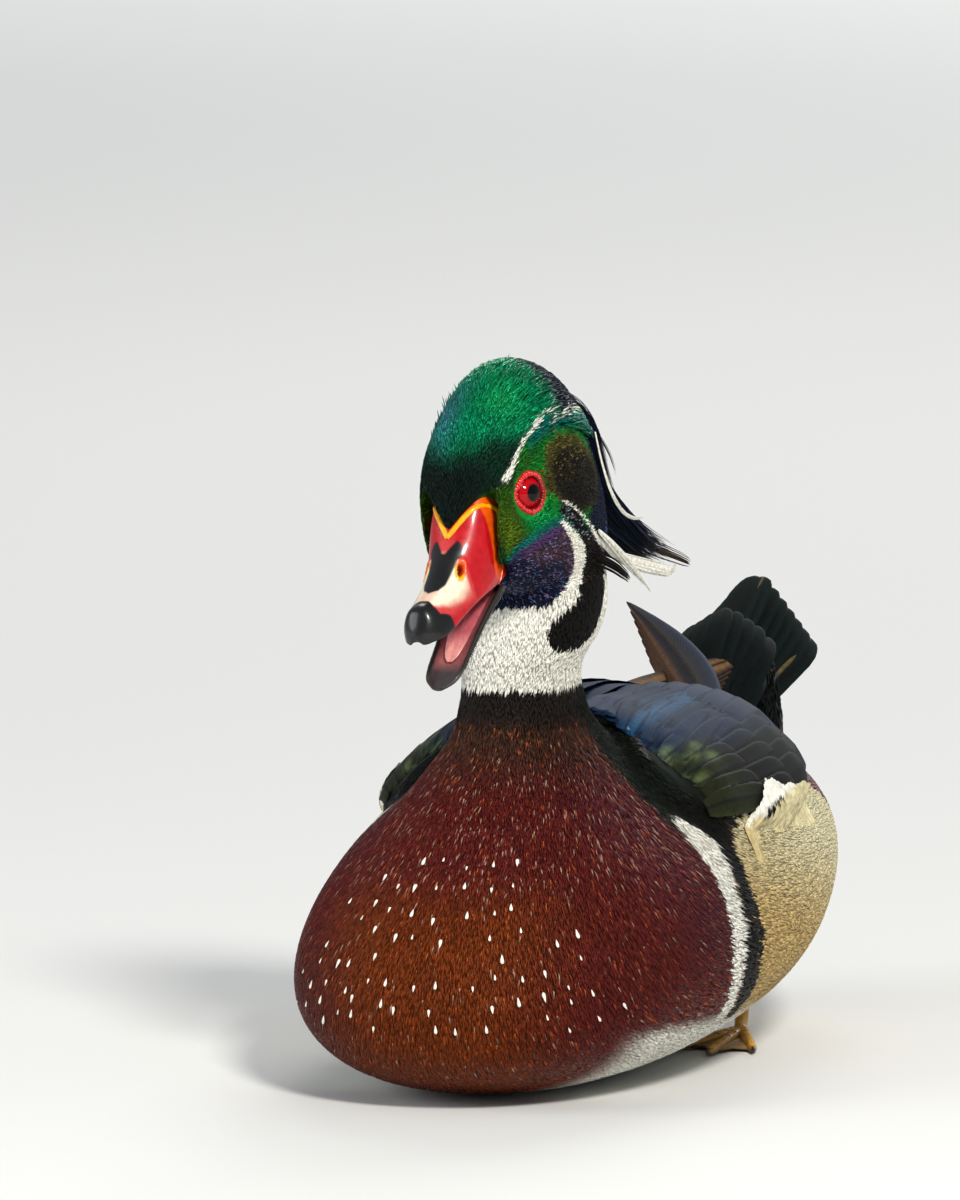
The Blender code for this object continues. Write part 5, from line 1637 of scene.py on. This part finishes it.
# %% Set the white plumes, the reddish tips and the loose hairs
SHEAVES = (
    # path as left, forward and up; how far the strands part at five places; how many; colour
    (((17, -46.5, 3), (17, -46.2, -6), (17.3, -47.2, -17), (17.6, -51, -26), (18, -57, -31),
      (18, -63, -33)),
     (0.2, 0.35, 0.6, 0.4, 0.12), 34, "white"),
    (((17, -33, -27), (18, -41, -37), (18.5, -51, -44), (19, -62, -50.5), (19, -70.5, -54.9),
      (19, -74, -53.6)),
     (0.4, 1.0, 1.35, 1.1, 0.15), 60, "white"),
    (((18.5, -33, -25.5), (19, -37.5, -31.5), (19, -42.5, -38), (18.5, -48.8, -45.8), (18, -53, -51),
      (18, -56.8, -57)),
     (0.4, 0.95, 1.2, 0.6, 0.12), 50, "white"),
    (((17, -30, -33), (17.5, -35, -37), (18, -39, -40.5), (18, -42, -43.5), (17.5, -45, -46),
      (17, -47, -48)),
     (1.6, 1.5, 1.3, 1.0, 0.8), 26, "soot"),
    (((12, -74, -48), (12, -80, -52), (12, -86, -56), (12, -91, -59.5), (12, -93, -61), (12, -94, -62)),
     (1.6, 1.4, 1.2, 0.9, 0.6), 16, "bronze"),
    (((10, -40, 14), (11, -50, 7), (11, -56.6, -1), (11, -60.4, -7.5), (11, -62.4, -13), (11, -63, -19)),
     (0.4, 0.4, 0.4, 0.4, 0.3), 7, "blue black"),
    (((11, -37, 21), (12.5, -45.5, 12), (14, -49, 3), (14.5, -49.5, -6), (14.5, -50.5, -16),
      (14, -54, -26)),
     (1.2, 2.0, 2.2, 2.2, 1.6), 160, "midnight"),
    (((9, -36, 22), (10, -44, 16), (11, -50, 11), (11, -53, 8), (11, -55.4, 5.6), (11, -57, 3.6)),
     (0.3, 0.3, 0.3, 0.4, 0.4), 5, "blue black"),
)
paths, tints = [], []
for line, parting, count, tone in SHEAVES:
    both = (1, -1) if tone in ("white", "midnight") else (1,)
    for side in both:
        bent = np.array([(side * l, -f, up) for l, f, up in line])
        for k in range(count):
            end = draw.uniform(0.62, 1.0) if len(both) == 2 else draw.uniform(0.85, 1.0)
            path = between(bent, np.linspace(0, 5 * end, 12))
            off = draw.normal(size=3).clip(-1.6, 1.6) * (0.3, 0.75, 0.75)
            part = np.interp(np.linspace(0, end, 12), np.linspace(0, 1, 5), parting)
            paths.append(path + off * part[:, None])
            tints.append(INK[tone] * (*[draw.uniform(0.82, 1.0)] * 3, 1))
print("plumes", len(paths), "strands")
widths = np.where(np.array(tints)[:, 1] > 0.3, 0.62, 0.4)
strands("side_plumes", paths, widths, np.array(tints), flat=0.35)
strands("crown_tufts", tuft_paths, 0.4, tuft_colours)

# %% [markdown]
# ## Vanes
#
# A wing or tail feather is a thin arched blade with a shaft down its middle and barbs that slant out to its
# edges. It could be a flat card, but a card has no thickness and its edge vanishes. Each vane here is a
# closed blade laid along a path, rounded at its end, and it carries its own map of across and along, so
# that the barbs and the shaft follow the feather wherever it lies.

# %% Build one vane
ACROSS = np.array((-1, -0.82, -0.5, -0.2, -0.06, 0.06, 0.2, 0.5, 0.82, 1.0))
SHAFT_RISE = np.array((0, 0, 0, 0, 1, 1, 0, 0, 0, 0))


def vane(path, facing, width, thick=0.5, camber=0.12, tip="round", stations=18, edge=0.0):
    """Points, faces and the places across and along one closed blade over a path."""
    path, facing = np.asarray(path, float), unit(facing)
    at = np.linspace(0, len(path) - 1, stations)
    at = (1 - (1 - at / (len(path) - 1)) ** 1.25) * (len(path) - 1)
    path, facing = between(path, at), unit(between(facing, at))
    t = at / at[-1]
    along = unit(np.gradient(path, axis=0))
    across = unit(np.cross(along, facing))
    up = unit(np.cross(across, along))
    if tip == "round":
        shape = np.sqrt(np.clip(1 - ((t - 0.72) / 0.285).clip(0, 1) ** 2, 0.002, 1))
    elif tip == "pointed":
        shape = np.clip(1 - ((t - 0.35) / 0.66).clip(0, 1) ** 1.8, 0.03, 1)
    else:
        shape = np.clip(1 - ((t - 0.6) / 0.42).clip(0, 1) ** 2.2, 0.02, 1)
    shape = shape * np.interp(t, (0, 0.1, 0.25), (0.55, 0.85, 1.0))
    half = width / 2 * shape
    wave = edge * np.sin(t * 47 + width)[:, None] * np.abs(ACROSS)[None] ** 4
    side = across[:, None] * (half[:, None] * (ACROSS + wave * np.sign(ACROSS)))[..., None]
    shaft = SHAFT_RISE * np.interp(t, (0, 1), (0.32, 0.05))[:, None]
    crown = camber * half[:, None] * (1 - np.abs(ACROSS) ** 1.6) + shaft
    deep = thick / 2 * np.interp(t, (0, 0.75, 1), (1.1, 1, 0.6))[:, None] * (1 - 0.55 * np.abs(ACROSS) ** 3)
    over = path[:, None] + side + up[:, None] * (crown + deep)[..., None]
    under = path[:, None] + side + up[:, None] * (crown - deep - 0.5 * SHAFT_RISE * 0.3)[..., None]
    rings = np.concatenate([over, under[:, ::-1]], 1)
    points, faces = closed_rings(rings)
    u = np.concatenate([np.broadcast_to(ACROSS, over.shape[:2]),
                        np.broadcast_to(ACROSS[::-1], over.shape[:2])], 1)
    v = np.broadcast_to(t[:, None], u.shape)
    place = np.stack([np.append(u.ravel(), [0, 0]), np.append(v.ravel(), [0, 1])], 1)
    return points, faces, place


def vane_mesh(name, blades, colours):
    """One mesh of many vanes, with each vane's own map and a tile for it in the baking map."""
    points, faces, places, tiles, tints, base = [], [], [], [], [], 0
    wide = math.ceil(math.sqrt(len(blades)))
    for k, ((p, f, place), tint) in enumerate(zip(blades, colours)):
        points.append(p)
        faces.append(f + base)
        base += len(p)
        places.append(place)
        tints.append(tint)
        corner = np.array((k % wide, k // wide), float)
        tiles.append((corner + 0.5 + 0.46 * np.stack([place[:, 0], place[:, 1] * 2 - 1], 1)) / wide)
    mesh = mesh_of(name, np.concatenate(points), np.concatenate(faces), VANE)
    outward(mesh)
    mesh.shade_smooth()
    add_colour(mesh, np.concatenate(tints))
    add_map(mesh, "OFBake", np.concatenate(tiles))
    add_map(mesh, "vane", np.concatenate(places))
    return mesh


print("points across a vane", len(ACROSS))

# %% Make the finish of the vanes
BARB_SLANT, BARBS, BARB_RELIEF = 0.16, 420.0, 0.00012


def vane_finish(name, dull, shiny, metal):
    """A feather's finish: barbs slant out from the shaft on the vane's own map."""
    made = plumage_finish(name, 500, 0.15, dull, shiny, metal, 0.1)
    tree = made.node_tree
    shader = tree.nodes["Principled BSDF"]
    own = add_node(tree, "ShaderNodeUVMap", uv_map="vane").outputs["UV"]
    apart = add_node(tree, "ShaderNodeSeparateXYZ", {0: own}).outputs
    slant = maths(tree, "MULTIPLY_ADD", maths(tree, "ABSOLUTE", apart["X"]), -BARB_SLANT, apart["Y"])
    barbs = maths(tree, "SINE", maths(tree, "MULTIPLY", slant, BARBS))
    grain = shader.inputs["Normal"].links[0].from_socket
    raised = {"Height": barbs, "Strength": 0.35, "Distance": BARB_RELIEF, "Normal": grain}
    wire(tree, shader, {"Normal": add_node(tree, "ShaderNodeBump", raised).outputs["Normal"]})
    return made


VANE = vane_finish("wing vane", 0.75, 0.5, 0.15)
print("vane finish", len(VANE.node_tree.nodes), "nodes")

# %% [markdown]
# ## The folded wings
#
# A folded wing shows its feathers in tiers, each overlapping the next like tiles: short coverts at the
# shoulder, scapulars over them beside the back, then the coverts of the flight feathers, the blue
# secondaries and the long tertials. They are bronze and olive below and deep blue above. Each tier is a row
# of vanes from one pair of end feathers to another, lifted a little at their tips and a little more towards
# the back.

# %% Colour the wings by place
WING_INK = {
    "blue": ink(10, 34, 62, 0.3),
    "deep": ink(6, 12, 22, 0.2),
    "sheen": ink(36, 88, 128, 0.35),
    "olive": ink(34, 38, 20, 0.3),
    "gold": ink(128, 146, 92, 0.5),
    "soot": ink(12, 15, 13, 0.15),
    "slate": ink(24, 26, 33, 0.15),
    "brown": ink(92, 64, 44, 0.15),
    "tan": ink(112, 84, 54, 0.1),
    "shaft": ink(40, 32, 26, 0.2),
}
SHEEN_LINE = ((-31, 24), (7, 26), (36, 26), (68, 21))
GLINTS = ((-23, 35), (-15, 38), (-1, 42), (-26, 39), (-17, 41), (-7, 44), (-21, 48), (-12, 51), (2, 47))


def wing_paint(y, degrees):
    """The colours of a wing by how far back and how far round a place is."""
    flat = np.stack([y, degrees * 0.9], 1)
    colour = filled(WING_INK["blue"], y)
    colour = laid_over(colour, WING_INK["deep"], soft(30, 60, y) * 0.5)
    gap, _ = reach_to(flat, np.array(SHEEN_LINE) * (1, 0.9))
    colour = laid_over(colour, WING_INK["sheen"], np.exp(-(gap / 2.5) ** 2) * 0.6)
    colour = laid_over(colour, WING_INK["soot"], soft(40, 50, degrees))
    front = soft(24, -6, y)
    colour = laid_over(colour, WING_INK["olive"], soft(34, 46, degrees) * front)
    painted_highlight = np.zeros(len(y))
    for spot in GLINTS:
        gap = np.linalg.norm((flat - np.array(spot) * (1, 0.9)) * (0.4, 1), axis=1)
        painted_highlight = np.maximum(painted_highlight, np.exp(-(gap / 1.3) ** 2))
    return laid_over(colour, WING_INK["gold"], painted_highlight * 0.5)


def vane_tint(place, base, edge, edge_share=0.5, shaft=None):
    """The colours over one vane: its base, a glint along its edges, and its shaft."""
    across, along = np.abs(place[:, 0]), place[:, 1]
    colour = layered(filled(base, place),
                     (edge, soft(0.45, 0.95, across) * edge_share * soft(0.1, 0.5, along)),
                     (edge, soft(0.8, 1.0, along) * edge_share))
    return colour if shaft is None else laid_over(colour, shaft, soft(0.14, 0.05, across))


print("wing inks", len(WING_INK))

# %% Lay small coverts over the shoulder
wing_grids = {}
for side in (1, -1):
    ys = np.linspace(*WING_Y, 60)
    grid = []
    for y in ys:
        low, high = wing_edges(y)
        grid.append([wing_point(side, y, a, 0) for a in np.linspace(high, low, 30)])
    wing_grids[side] = np.array(grid)


def wing_surface(side):
    """The wing as a surface for roots_on: at runs back from 0 to 1 and turn runs down the wing."""
    grid = wing_grids[side]

    def surface(at, turn):
        i = np.clip(at, 0, 1) * (grid.shape[0] - 1.001)
        j = np.clip(turn / (2 * math.pi), 0, 1) * (grid.shape[1] - 1.001)
        i0, j0 = np.floor(i).astype(int), np.floor(j).astype(int)
        fi, fj = (i - i0)[..., None], (j - j0)[..., None]
        near = grid[i0, j0] * (1 - fj) + grid[i0, j0 + 1] * fj
        far = grid[i0 + 1, j0] * (1 - fj) + grid[i0 + 1, j0 + 1] * fj
        return near * (1 - fi) + far * fi
    return surface


def wing_markings(places):
    return wing_paint(*wing_places(np.asarray(places, float)))


def off_the_edge(places):
    """True where a place isn't on the lower edge of a wing, where coverts would curl under."""
    y, degrees = wing_places(places)
    return degrees < np.interp(y, *WING_LOW.T) - 7


for side, name in ((1, "left"), (-1, "right")):
    roots, lie, unwrap = roots_on(wing_surface(side), 0.05, 0.62, 1.9, 41 + side, off_the_edge)
    feathers(f"wing_coverts_{name}", roots, lie, unwrap, (7.5, 3.0, 0.5), 41 + side, rings=2, tint=0.2,
             slot="wing_feathers", colour_of=wing_markings, ragged=5, thick=0.12)

# %% Lay the tiers of the wings
# Name, count, first and last root, first and last tip, width, lift at the root and at the tip, and end
# shape. Places are how far back and how far round.
WING_TIERS = (
    ("secondaries", 8, (52, 30), (42, 60), (118, 22), (98, 52), 14.0, 0.2, 1.5, "round"),
    ("greater coverts", 9, (28, 24), (20, 63), (82, 20), (70, 60), 12.5, 0.5, 2.2, "round"),
    ("median coverts", 10, (2, 20), (0, 64), (48, 16), (42, 63), 11.0, 0.6, 2.4, "round"),
    ("lesser coverts", 10, (-16, 24), (-16, 60), (20, 18), (18, 64), 10.0, 0.3, 2.0, "round"),
    ("tertials", 6, (34, 10), (30, 44), (130, 7), (112, 36), 17.0, 1.6, 3.4, "blunt"),
    ("scapulars", 9, (-14, 12), (-18, 46), (62, 9), (46, 38), 12.0, 1.0, 3.6, "pointed"),
)
TIER_TINT = {
    "secondaries": ("deep", "sheen", 0.35), "greater coverts": (None, "sheen", 0.3),
    "median coverts": (None, "sheen", 0.2), "lesser coverts": (None, "gold", 0.08),
    "tertials": ("blue", "sheen", 0.45), "scapulars": (None, "sheen", 0.2),
}


def tier_vane(side, root, tip, width, low, high, end, count=7):
    path, facing = [], []
    for k in range(count):
        f = k / (count - 1)
        y, degrees = np.array(root) * (1 - f) + np.array(tip) * f
        lift = -1.6 + (low + 1.6) * min(1, f * 4) + (high - low) * f
        path.append(wing_point(side, y, degrees, lift))
        angle = math.radians(degrees)
        facing.append((side * math.sin(angle), 0, math.cos(angle)))
    return vane(path, facing, width, 0.45, 0.10, end, edge=0.02)


PRIMARIES = {
    1: ((24, 84, 101), (2, 140, 111), (-36, 190, 122), (-0.30, -0.40, 0.86)),
    -1: ((-22, 84, 98), (-4, 134, 103), (13, 184, 109), (0.40, -0.35, 0.84)),
}


def wing_vanes(side, seed):
    draw = np.random.default_rng(seed)
    blades, tints = [], []
    for tier, count, root_a, root_b, tip_a, tip_b, width, low, high, end in WING_TIERS:
        base, edge, share = TIER_TINT[tier]
        for k in range(count):
            f = k / (count - 1)
            root = np.array(root_a) * (1 - f) + np.array(root_b) * f + draw.normal(size=2) * (1.0, 0.4)
            tip = np.array(tip_a) * (1 - f) + np.array(tip_b) * f + draw.normal(size=2) * (1.6, 0.5)
            stack = 0.32 * (count - 1 - k)
            blade = tier_vane(side, root, tip, width, low + stack * 0.3, high + stack * 0.4, end)
            y, degrees = wing_places(blade[0])
            ground = wing_paint(y, degrees) if base is None else filled(WING_INK[base], y)
            tint = laid_over(ground, WING_INK[edge], soft(0.7, 1.0, blade[2][:, 0] * side) * share)
            tint = laid_over(tint, WING_INK["deep"], soft(0.16, 0.05, np.abs(blade[2][:, 0])) * 0.6)
            tint[:, :3] *= draw.uniform(0.8, 1.2)
            blades.append(blade)
            tints.append(tint)
    root, middle, tip, facing = (np.array(v, float) for v in PRIMARIES[side])
    facing = unit(facing)
    way = unit(tip - middle)
    aside = unit(np.cross(way, facing)) * -side
    for k in range(7):
        under = -facing * 0.9 * k
        t = np.linspace(0, 1, 7)[:, None]
        start, bent = root + under, middle + under + aside * 1.0 * k
        end = tip + under + aside * 1.4 * k - way * 6.0 * k
        path = bow(start, bent, end, t)
        blade = vane(path, [facing] * 7, 13.0, 0.45, 0.12, "pointed", edge=0.01)
        across = blade[2][:, 0]
        if side > 0:
            tint = vane_tint(blade[2], WING_INK["slate"], WING_INK["slate"], 0, WING_INK["shaft"])
            tint = laid_over(tint, WING_INK["blue"], soft(0.3, 1.0, across) * 0.8)
            tint = laid_over(tint, WING_INK["brown"], soft(-0.4, -0.95, across) * 0.9)
        else:
            tint = vane_tint(blade[2], WING_INK["tan"], WING_INK["slate"], 0.9, WING_INK["shaft"])
        blades.append(blade)
        tints.append(tint)
    return blades, tints

# %% [markdown]
# The longest flank feathers lap over the lower edge of the wing. They are buff with a short black bar and a
# white tip towards the front and plain buff behind. Each is a vane whose path is dropped from the side onto
# whatever lies outermost there, the wing's vanes or the skin.

# %% Lap the flank over the wing
# How far back and how high each feather's tip lies, the share of it that is white, and the length of its
# black bar.
LAP_TIPS = ((1.5, 76.5, 0.10, 0.0), (4, 79.4, 0.16, 0.0), (8, 82.2, 0.26, 0.04), (12, 84.8, 0.34, 0.12),
            (16, 87.0, 0.38, 0.16), (21, 88.4, 0.40, 0.12), (25, 87.0, 0.30, 0.06), (28, 84.8, 0.10, 0.0),
            (33, 85.4, 0.14, 0.0), (37, 84.0, 0.0, 0.0), (45, 83.4, 0.0, 0.0), (54, 82.6, 0.0, 0.0),
            (64, 81.5, 0.0, 0.0))


def as_one(parts):
    """One list of points and one of faces from many."""
    points, faces = [], []
    for some, corners in parts:
        faces += [[c + len(points) for c in face] for face in corners]
        points += np.asarray(some).tolist()
    return points, faces


def outermost(wing, side, y, z):
    """How far out from the middle the wing's vanes or the skin reach at a place."""
    reach = 60.0
    for tree in (wing, SKIN):
        hit = tree.ray_cast((side * 200.0, y, z), (-side, 0, 0))[0]
        if hit:
            reach = max(reach, abs(hit[0]))
    return reach


def flank_laps(side, wing, count=58):
    """Long flank feathers, tipped with white at the front, that lap over the lower edge of a wing."""
    blades, tints = [], []
    draw = np.random.default_rng(57 + side)
    at = np.linspace(0, len(LAP_TIPS) - 1, count)
    for k, (back, high, white, bar) in enumerate(between(np.array(LAP_TIPS), at)):
        tip = np.array((back, high)) + draw.normal(size=2) * (0.3, 0.25)
        root = tip - (draw.uniform(8, 10), draw.uniform(15, 17))
        path = []
        for f in np.linspace(0, 1, 7):
            y, z = root * (1 - f) + tip * f
            lift = np.interp(f, (0, 0.3, 0.6, 1), (-0.8, 0.3, 0.9, 1.0 + 0.03 * (k % 5)))
            path.append((side * (outermost(wing, side, y, z) + lift), y, z))
        blade = vane(path, [(side * 0.92, -0.12, 0.38)] * 7, draw.uniform(3.6, 4.8), 0.24, 0.08, "round",
                     14, 0.02)
        along = blade[2][:, 1]
        tint = np.repeat(markings(np.array([path[0]])), len(along), 0)
        tint[:, :3] *= draw.uniform(0.85, 1.15)
        tint = laid_over(tint, INK["black"],
                         soft(0.98 - white - bar, 1.0 - white - bar, along) * (bar > 0.02))
        if white > 0.02:
            tint = laid_over(tint, INK["white"], soft(0.98 - white, 1.0 - white, along))
        blades.append(blade)
        tints.append(tint)
    return blades, tints


for side, name in ((1, "left"), (-1, "right")):
    blades, tints = wing_vanes(side, 51 + side)
    wing = BVHTree.FromPolygons(*as_one([blade[:2] for blade in blades]))
    laps, lap_tints = flank_laps(side, wing)
    mesh = vane_mesh(f"wing vanes {name}", blades + laps, tints + lap_tints)
    piece(f"wing_vanes_{name}", mesh, "wing_feathers", f"wing_{name}")

# %% [markdown]
# ## The tail
#
# The tail is cocked up and folded narrow, a stack of long black feathers with a green gloss, the middle
# pair on top. Shorter coverts roof its root above and below. They are vanes on bent paths, set from the
# middle outwards so that each lies under its inner neighbour.

# %% Fold the tail
TAIL_TIP, TAIL_BASE = (212.0, 131.0), (152.0, 86.0)
TAIL_INK = (ink(6, 11, 11, 0.15), ink(10, 28, 26, 0.25), ink(92, 80, 52, 0.3))


def bent(root, middle, tip, count=7):
    t = np.linspace(0, 1, count)[:, None]
    root, middle, tip = (np.asarray(p, float) for p in (root, middle, tip))
    return bow(root, middle, tip, t)


blades, tints = [], []
face = unit(np.array([0, -0.62, 0.78]))
draw = np.random.default_rng(61)
for k in range(14):
    out = (k - 6.5) * 9 / 13
    far = abs(out)
    sink = -face * (1.25 * (far + 0.5) if far > 1 else 0.6 + 0.4 * out)
    root = np.array((out * 1.9, TAIL_BASE[0], TAIL_BASE[1] + 6)) + sink
    tip = np.array((3.5 + out * 4.2, TAIL_TIP[0] - 2.0 * far, TAIL_TIP[1] - 3.6 * far)) + sink
    middle = np.array((out * 4.4, 187 - 0.9 * far, 116 - far * 1.8)) + sink
    blades.append(vane(bent(root, middle, tip), [(out * 0.12, -0.62, 0.78)] * 7, 12.0, 0.5, 0.1, "round",
                       edge=0.01))
    tint = vane_tint(blades[-1][2], TAIL_INK[0], TAIL_INK[1], 0.6, TAIL_INK[2] if k % 3 == 1 else None)
    tints.append(tint)
for count, root_y, root_z, tip_y, tip_z, wide in ((9, 150, 92, 184, 122, 9), (7, 144, 87, 172, 112, 9),
                                                  (7, 136, 84, 160, 103, 10)):
    for k in range(count):
        out = (k - (count - 1) / 2) * 4 / (count - 1)
        root = (out * 5, root_y, root_z - abs(out) * 3.5)
        tip = (out * 7.5, tip_y, tip_z - abs(out) * 4.5 + draw.uniform(-1, 1))
        middle = (out * 8, (root_y + tip_y) / 2 - 5, (root_z + tip_z) / 2 + 5 - abs(out) * 3.5)
        blades.append(vane(bent(root, middle, tip), [(out * 0.25, -0.6, 0.8)] * 7, wide, 0.45, 0.15,
                           "round"))
        tints.append(vane_tint(blades[-1][2], TAIL_INK[0], TAIL_INK[1], 0.5))
for k in range(9):
    out = (k - 4) * 0.42
    root, tip = (out * 6, 152, 62 + abs(out)), (out * 7.5, 187 + draw.uniform(-2, 0), 92 + abs(out) * 2)
    middle = (out * 8.5, 172, 71 + abs(out) * 2)
    blades.append(vane(bent(root, middle, tip), [(out * 0.3, 0.7, -0.7)] * 7, 10, 0.45, 0.12, "round"))
    tints.append(vane_tint(blades[-1][2], TAIL_INK[0], ink(40, 34, 26, 0.3), 0.5))
piece("tail_vanes", vane_mesh("tail vanes", blades, tints), "tail_feathers", "tail")

# %% [markdown]
# ## Feet
#
# The feet are tucked under, so only their toes and webs peep out beside the belly. Toes are tapered tubes,
# flat below, with the web between them, and rows of low scutes run along the top of each toe.

# %% Make the toes, the webs and the shanks
FOOT_HEEL = (45.0, 50.0)
TOES = ((60.0, 11.0), (48.0, 1.0), (36.0, 11.0))
FOOT = bare_finish("foot skin", 700, 0.6, 0.45, 0.2)
CLAW = bare_finish("claw", 500, 0.2, 0.35, 0.3)


def toe_rings(start, end, half, high, steps=36):
    start, end = np.array(start, float), np.array(end, float)
    way = unit(end - start)
    side = np.array([way[1], -way[0]])
    f = np.linspace(0, 1.0, steps)
    wide, tall = (np.interp(f, (0, 0.35, 0.7, 0.92, 1.0), (1, near, 0.8, 0.7, 0.3))
                  * (1 + 0.06 * np.sin(f * 38))
                  for near in (0.85, 0.9))
    middle = start + (end - start) * f[:, None]
    turn = turns(20)
    out, up = np.cos(turn), np.clip(np.sin(turn), -0.25, 1)
    rings = np.zeros((steps, 20, 3))
    rings[..., :2] = middle[:, None] + side * (half * wide[:, None] * out)[..., None]
    rings[..., 2] = 0.3 + high * tall[:, None] * (0.25 + up) / 1.25
    return rings


def foot(side):
    flip = np.array((side, 1, 1))
    meshes, claws, scutes, ways = [], [], [], []
    for toe, half, high in [(t, 2.1, 3.2) for t in TOES] + [((42, 58), 1.7, 2.4)]:
        rings = toe_rings(FOOT_HEEL, toe, half, high)
        points, faces = closed_rings(rings)
        meshes.append(outward(mesh_of("toe", points * flip, faces, FOOT)))
        start, end = np.array(FOOT_HEEL), np.array(toe, float)
        way = unit(end - start)
        for f in np.linspace(0.1, 0.94, 16):
            spot = start + (end - start) * f
            tall = 0.3 + high * np.interp(f, (0, 0.35, 0.7, 0.92), (1, 0.9, 0.8, 0.7))
            scutes.append((spot[0] * side, spot[1], tall - 0.25))
            ways.append((way[0] * side, way[1], 0))
        claw = [(*(end + way * (0.2 + 3.2 * t)), 0.9 + 1.1 * math.sin(math.pi * (0.2 + 0.6 * t)) - 0.7 * t)
                for t in (0, .33, .66, 1)]
        path = between(np.array(claw), np.linspace(0, 3, 10))
        points, faces = tube_along(path, np.interp(np.linspace(0, 1, 10), (0, 1), (0.75, 0.08)),
                                   (0, 0, 1.0), 1.0, 10)
        claws.append(outward(mesh_of("claw", points * flip, faces, CLAW)))
    for a, b in zip(TOES, TOES[1:]):
        a, b, heel = np.array(a), np.array(b), np.array(FOOT_HEEL)
        u, v = np.meshgrid(np.linspace(0.05, 0.9, 18), np.linspace(0, 1, 15), indexing="ij")
        left, right_ = heel + (a - heel) * u[..., None], heel + (b - heel) * u[..., None]
        spot = left * (1 - v[..., None]) + right_ * v[..., None]
        spot += (heel - spot) * (0.16 * np.sin(math.pi * v) * u)[..., None]
        high = 1.15 + 0.12 * np.sin(u * 30) * np.sin(math.pi * v)
        over = np.concatenate([spot, high[..., None]], -1)
        under = np.concatenate([spot, 0 * high[..., None] + 0.35], -1)
        points, faces = closed_rings(np.concatenate([over, under[:, ::-1]], 1))
        meshes.append(outward(mesh_of("web", points * flip, faces, FOOT)))
    shank = np.array([(45, 47, 2.0), (43.5, 54, 5), (41.8, 60, 10), (40.7, 64, 18)], float)
    path = between(shank, np.linspace(0, 3, 24))
    points, faces = tube_along(path, np.interp(np.linspace(0, 1, 24), (0, 1), (1.9, 3.0)), (0, -0.5, 0.8),
                               0.9, 18)
    meshes.append(outward(mesh_of("shank", points * flip, faces, FOOT)))
    scute = repeated("scutes", scutes, ways, [(0, 0, 1)] * len(scutes), 1.5, 2.3, 0.9, FOOT, 0.1, 9)
    made = joined([*meshes, scute], FOOT)
    name = "left" if side > 0 else "right"
    where = points_of(made)
    tint = laid_over(filled(ink(196, 142, 44), where), ink(112, 92, 62), soft(1.6, 0.9, where[:, 2]))
    piece(f"toes_{name}", coloured(made, tint), "foot", f"foot_{name}")
    piece(f"claws_{name}", coloured(joined(claws, CLAW), ink(22, 20, 18)), "foot")


for side in (1, -1):
    foot(side)

# %% [markdown]
# ## Flecks on the breast
#
# Down the middle of the chestnut breast run rows of small white arrowheads, one on the tip of a feather
# here and there. They are a repeated form too: points are set in staggered rows over the breast, and each
# gets one small drop, drawn to a point up the slope.

# %% Set the flecks
FLECK = plumage_finish("fleck", 900, 0.1, 0.6, 0.5, 0.0)
fleck_roots, fleck_ways = [], []
draw = np.random.default_rng(71)
for row_number, at in enumerate(np.linspace(5.9, 9.1, 10)):
    reach = np.interp(at, (5.9, 7.4, 9.1), (0.5, 0.85, 0.95))
    step = np.interp(at, (5.9, 7.4, 9.1), (0.2, 0.15, 0.13))
    for turn in np.arange(-reach, reach, step) + (row_number % 2) * step / 2:
        angle = math.pi + turn + draw.normal() * 0.025
        here = body_at(at + draw.normal() * 0.06, angle)
        fleck_roots.append(here)
        fleck_ways.append(unit(here - body_at(at + 0.02, angle)))
fleck_roots, fleck_ways = np.array(fleck_roots), np.array(fleck_ways)
on, facing, _ = settled(fleck_roots)
keep = (on[:, 1] < -60) & (on[:, 2] > 26) & (draw.random(len(on)) < 0.8)
on, facing, ways = on[keep] + facing[keep] * 0.75, facing[keep], fleck_ways[keep]
flecks = repeated("flecks", on, ways, facing, 2.7, 0.85, 0.5, FLECK, 0.35, 7, taper=0.75)
print("flecks", len(on))
piece("breast_flecks", coloured(flecks, INK["white"]), "body_plumage")
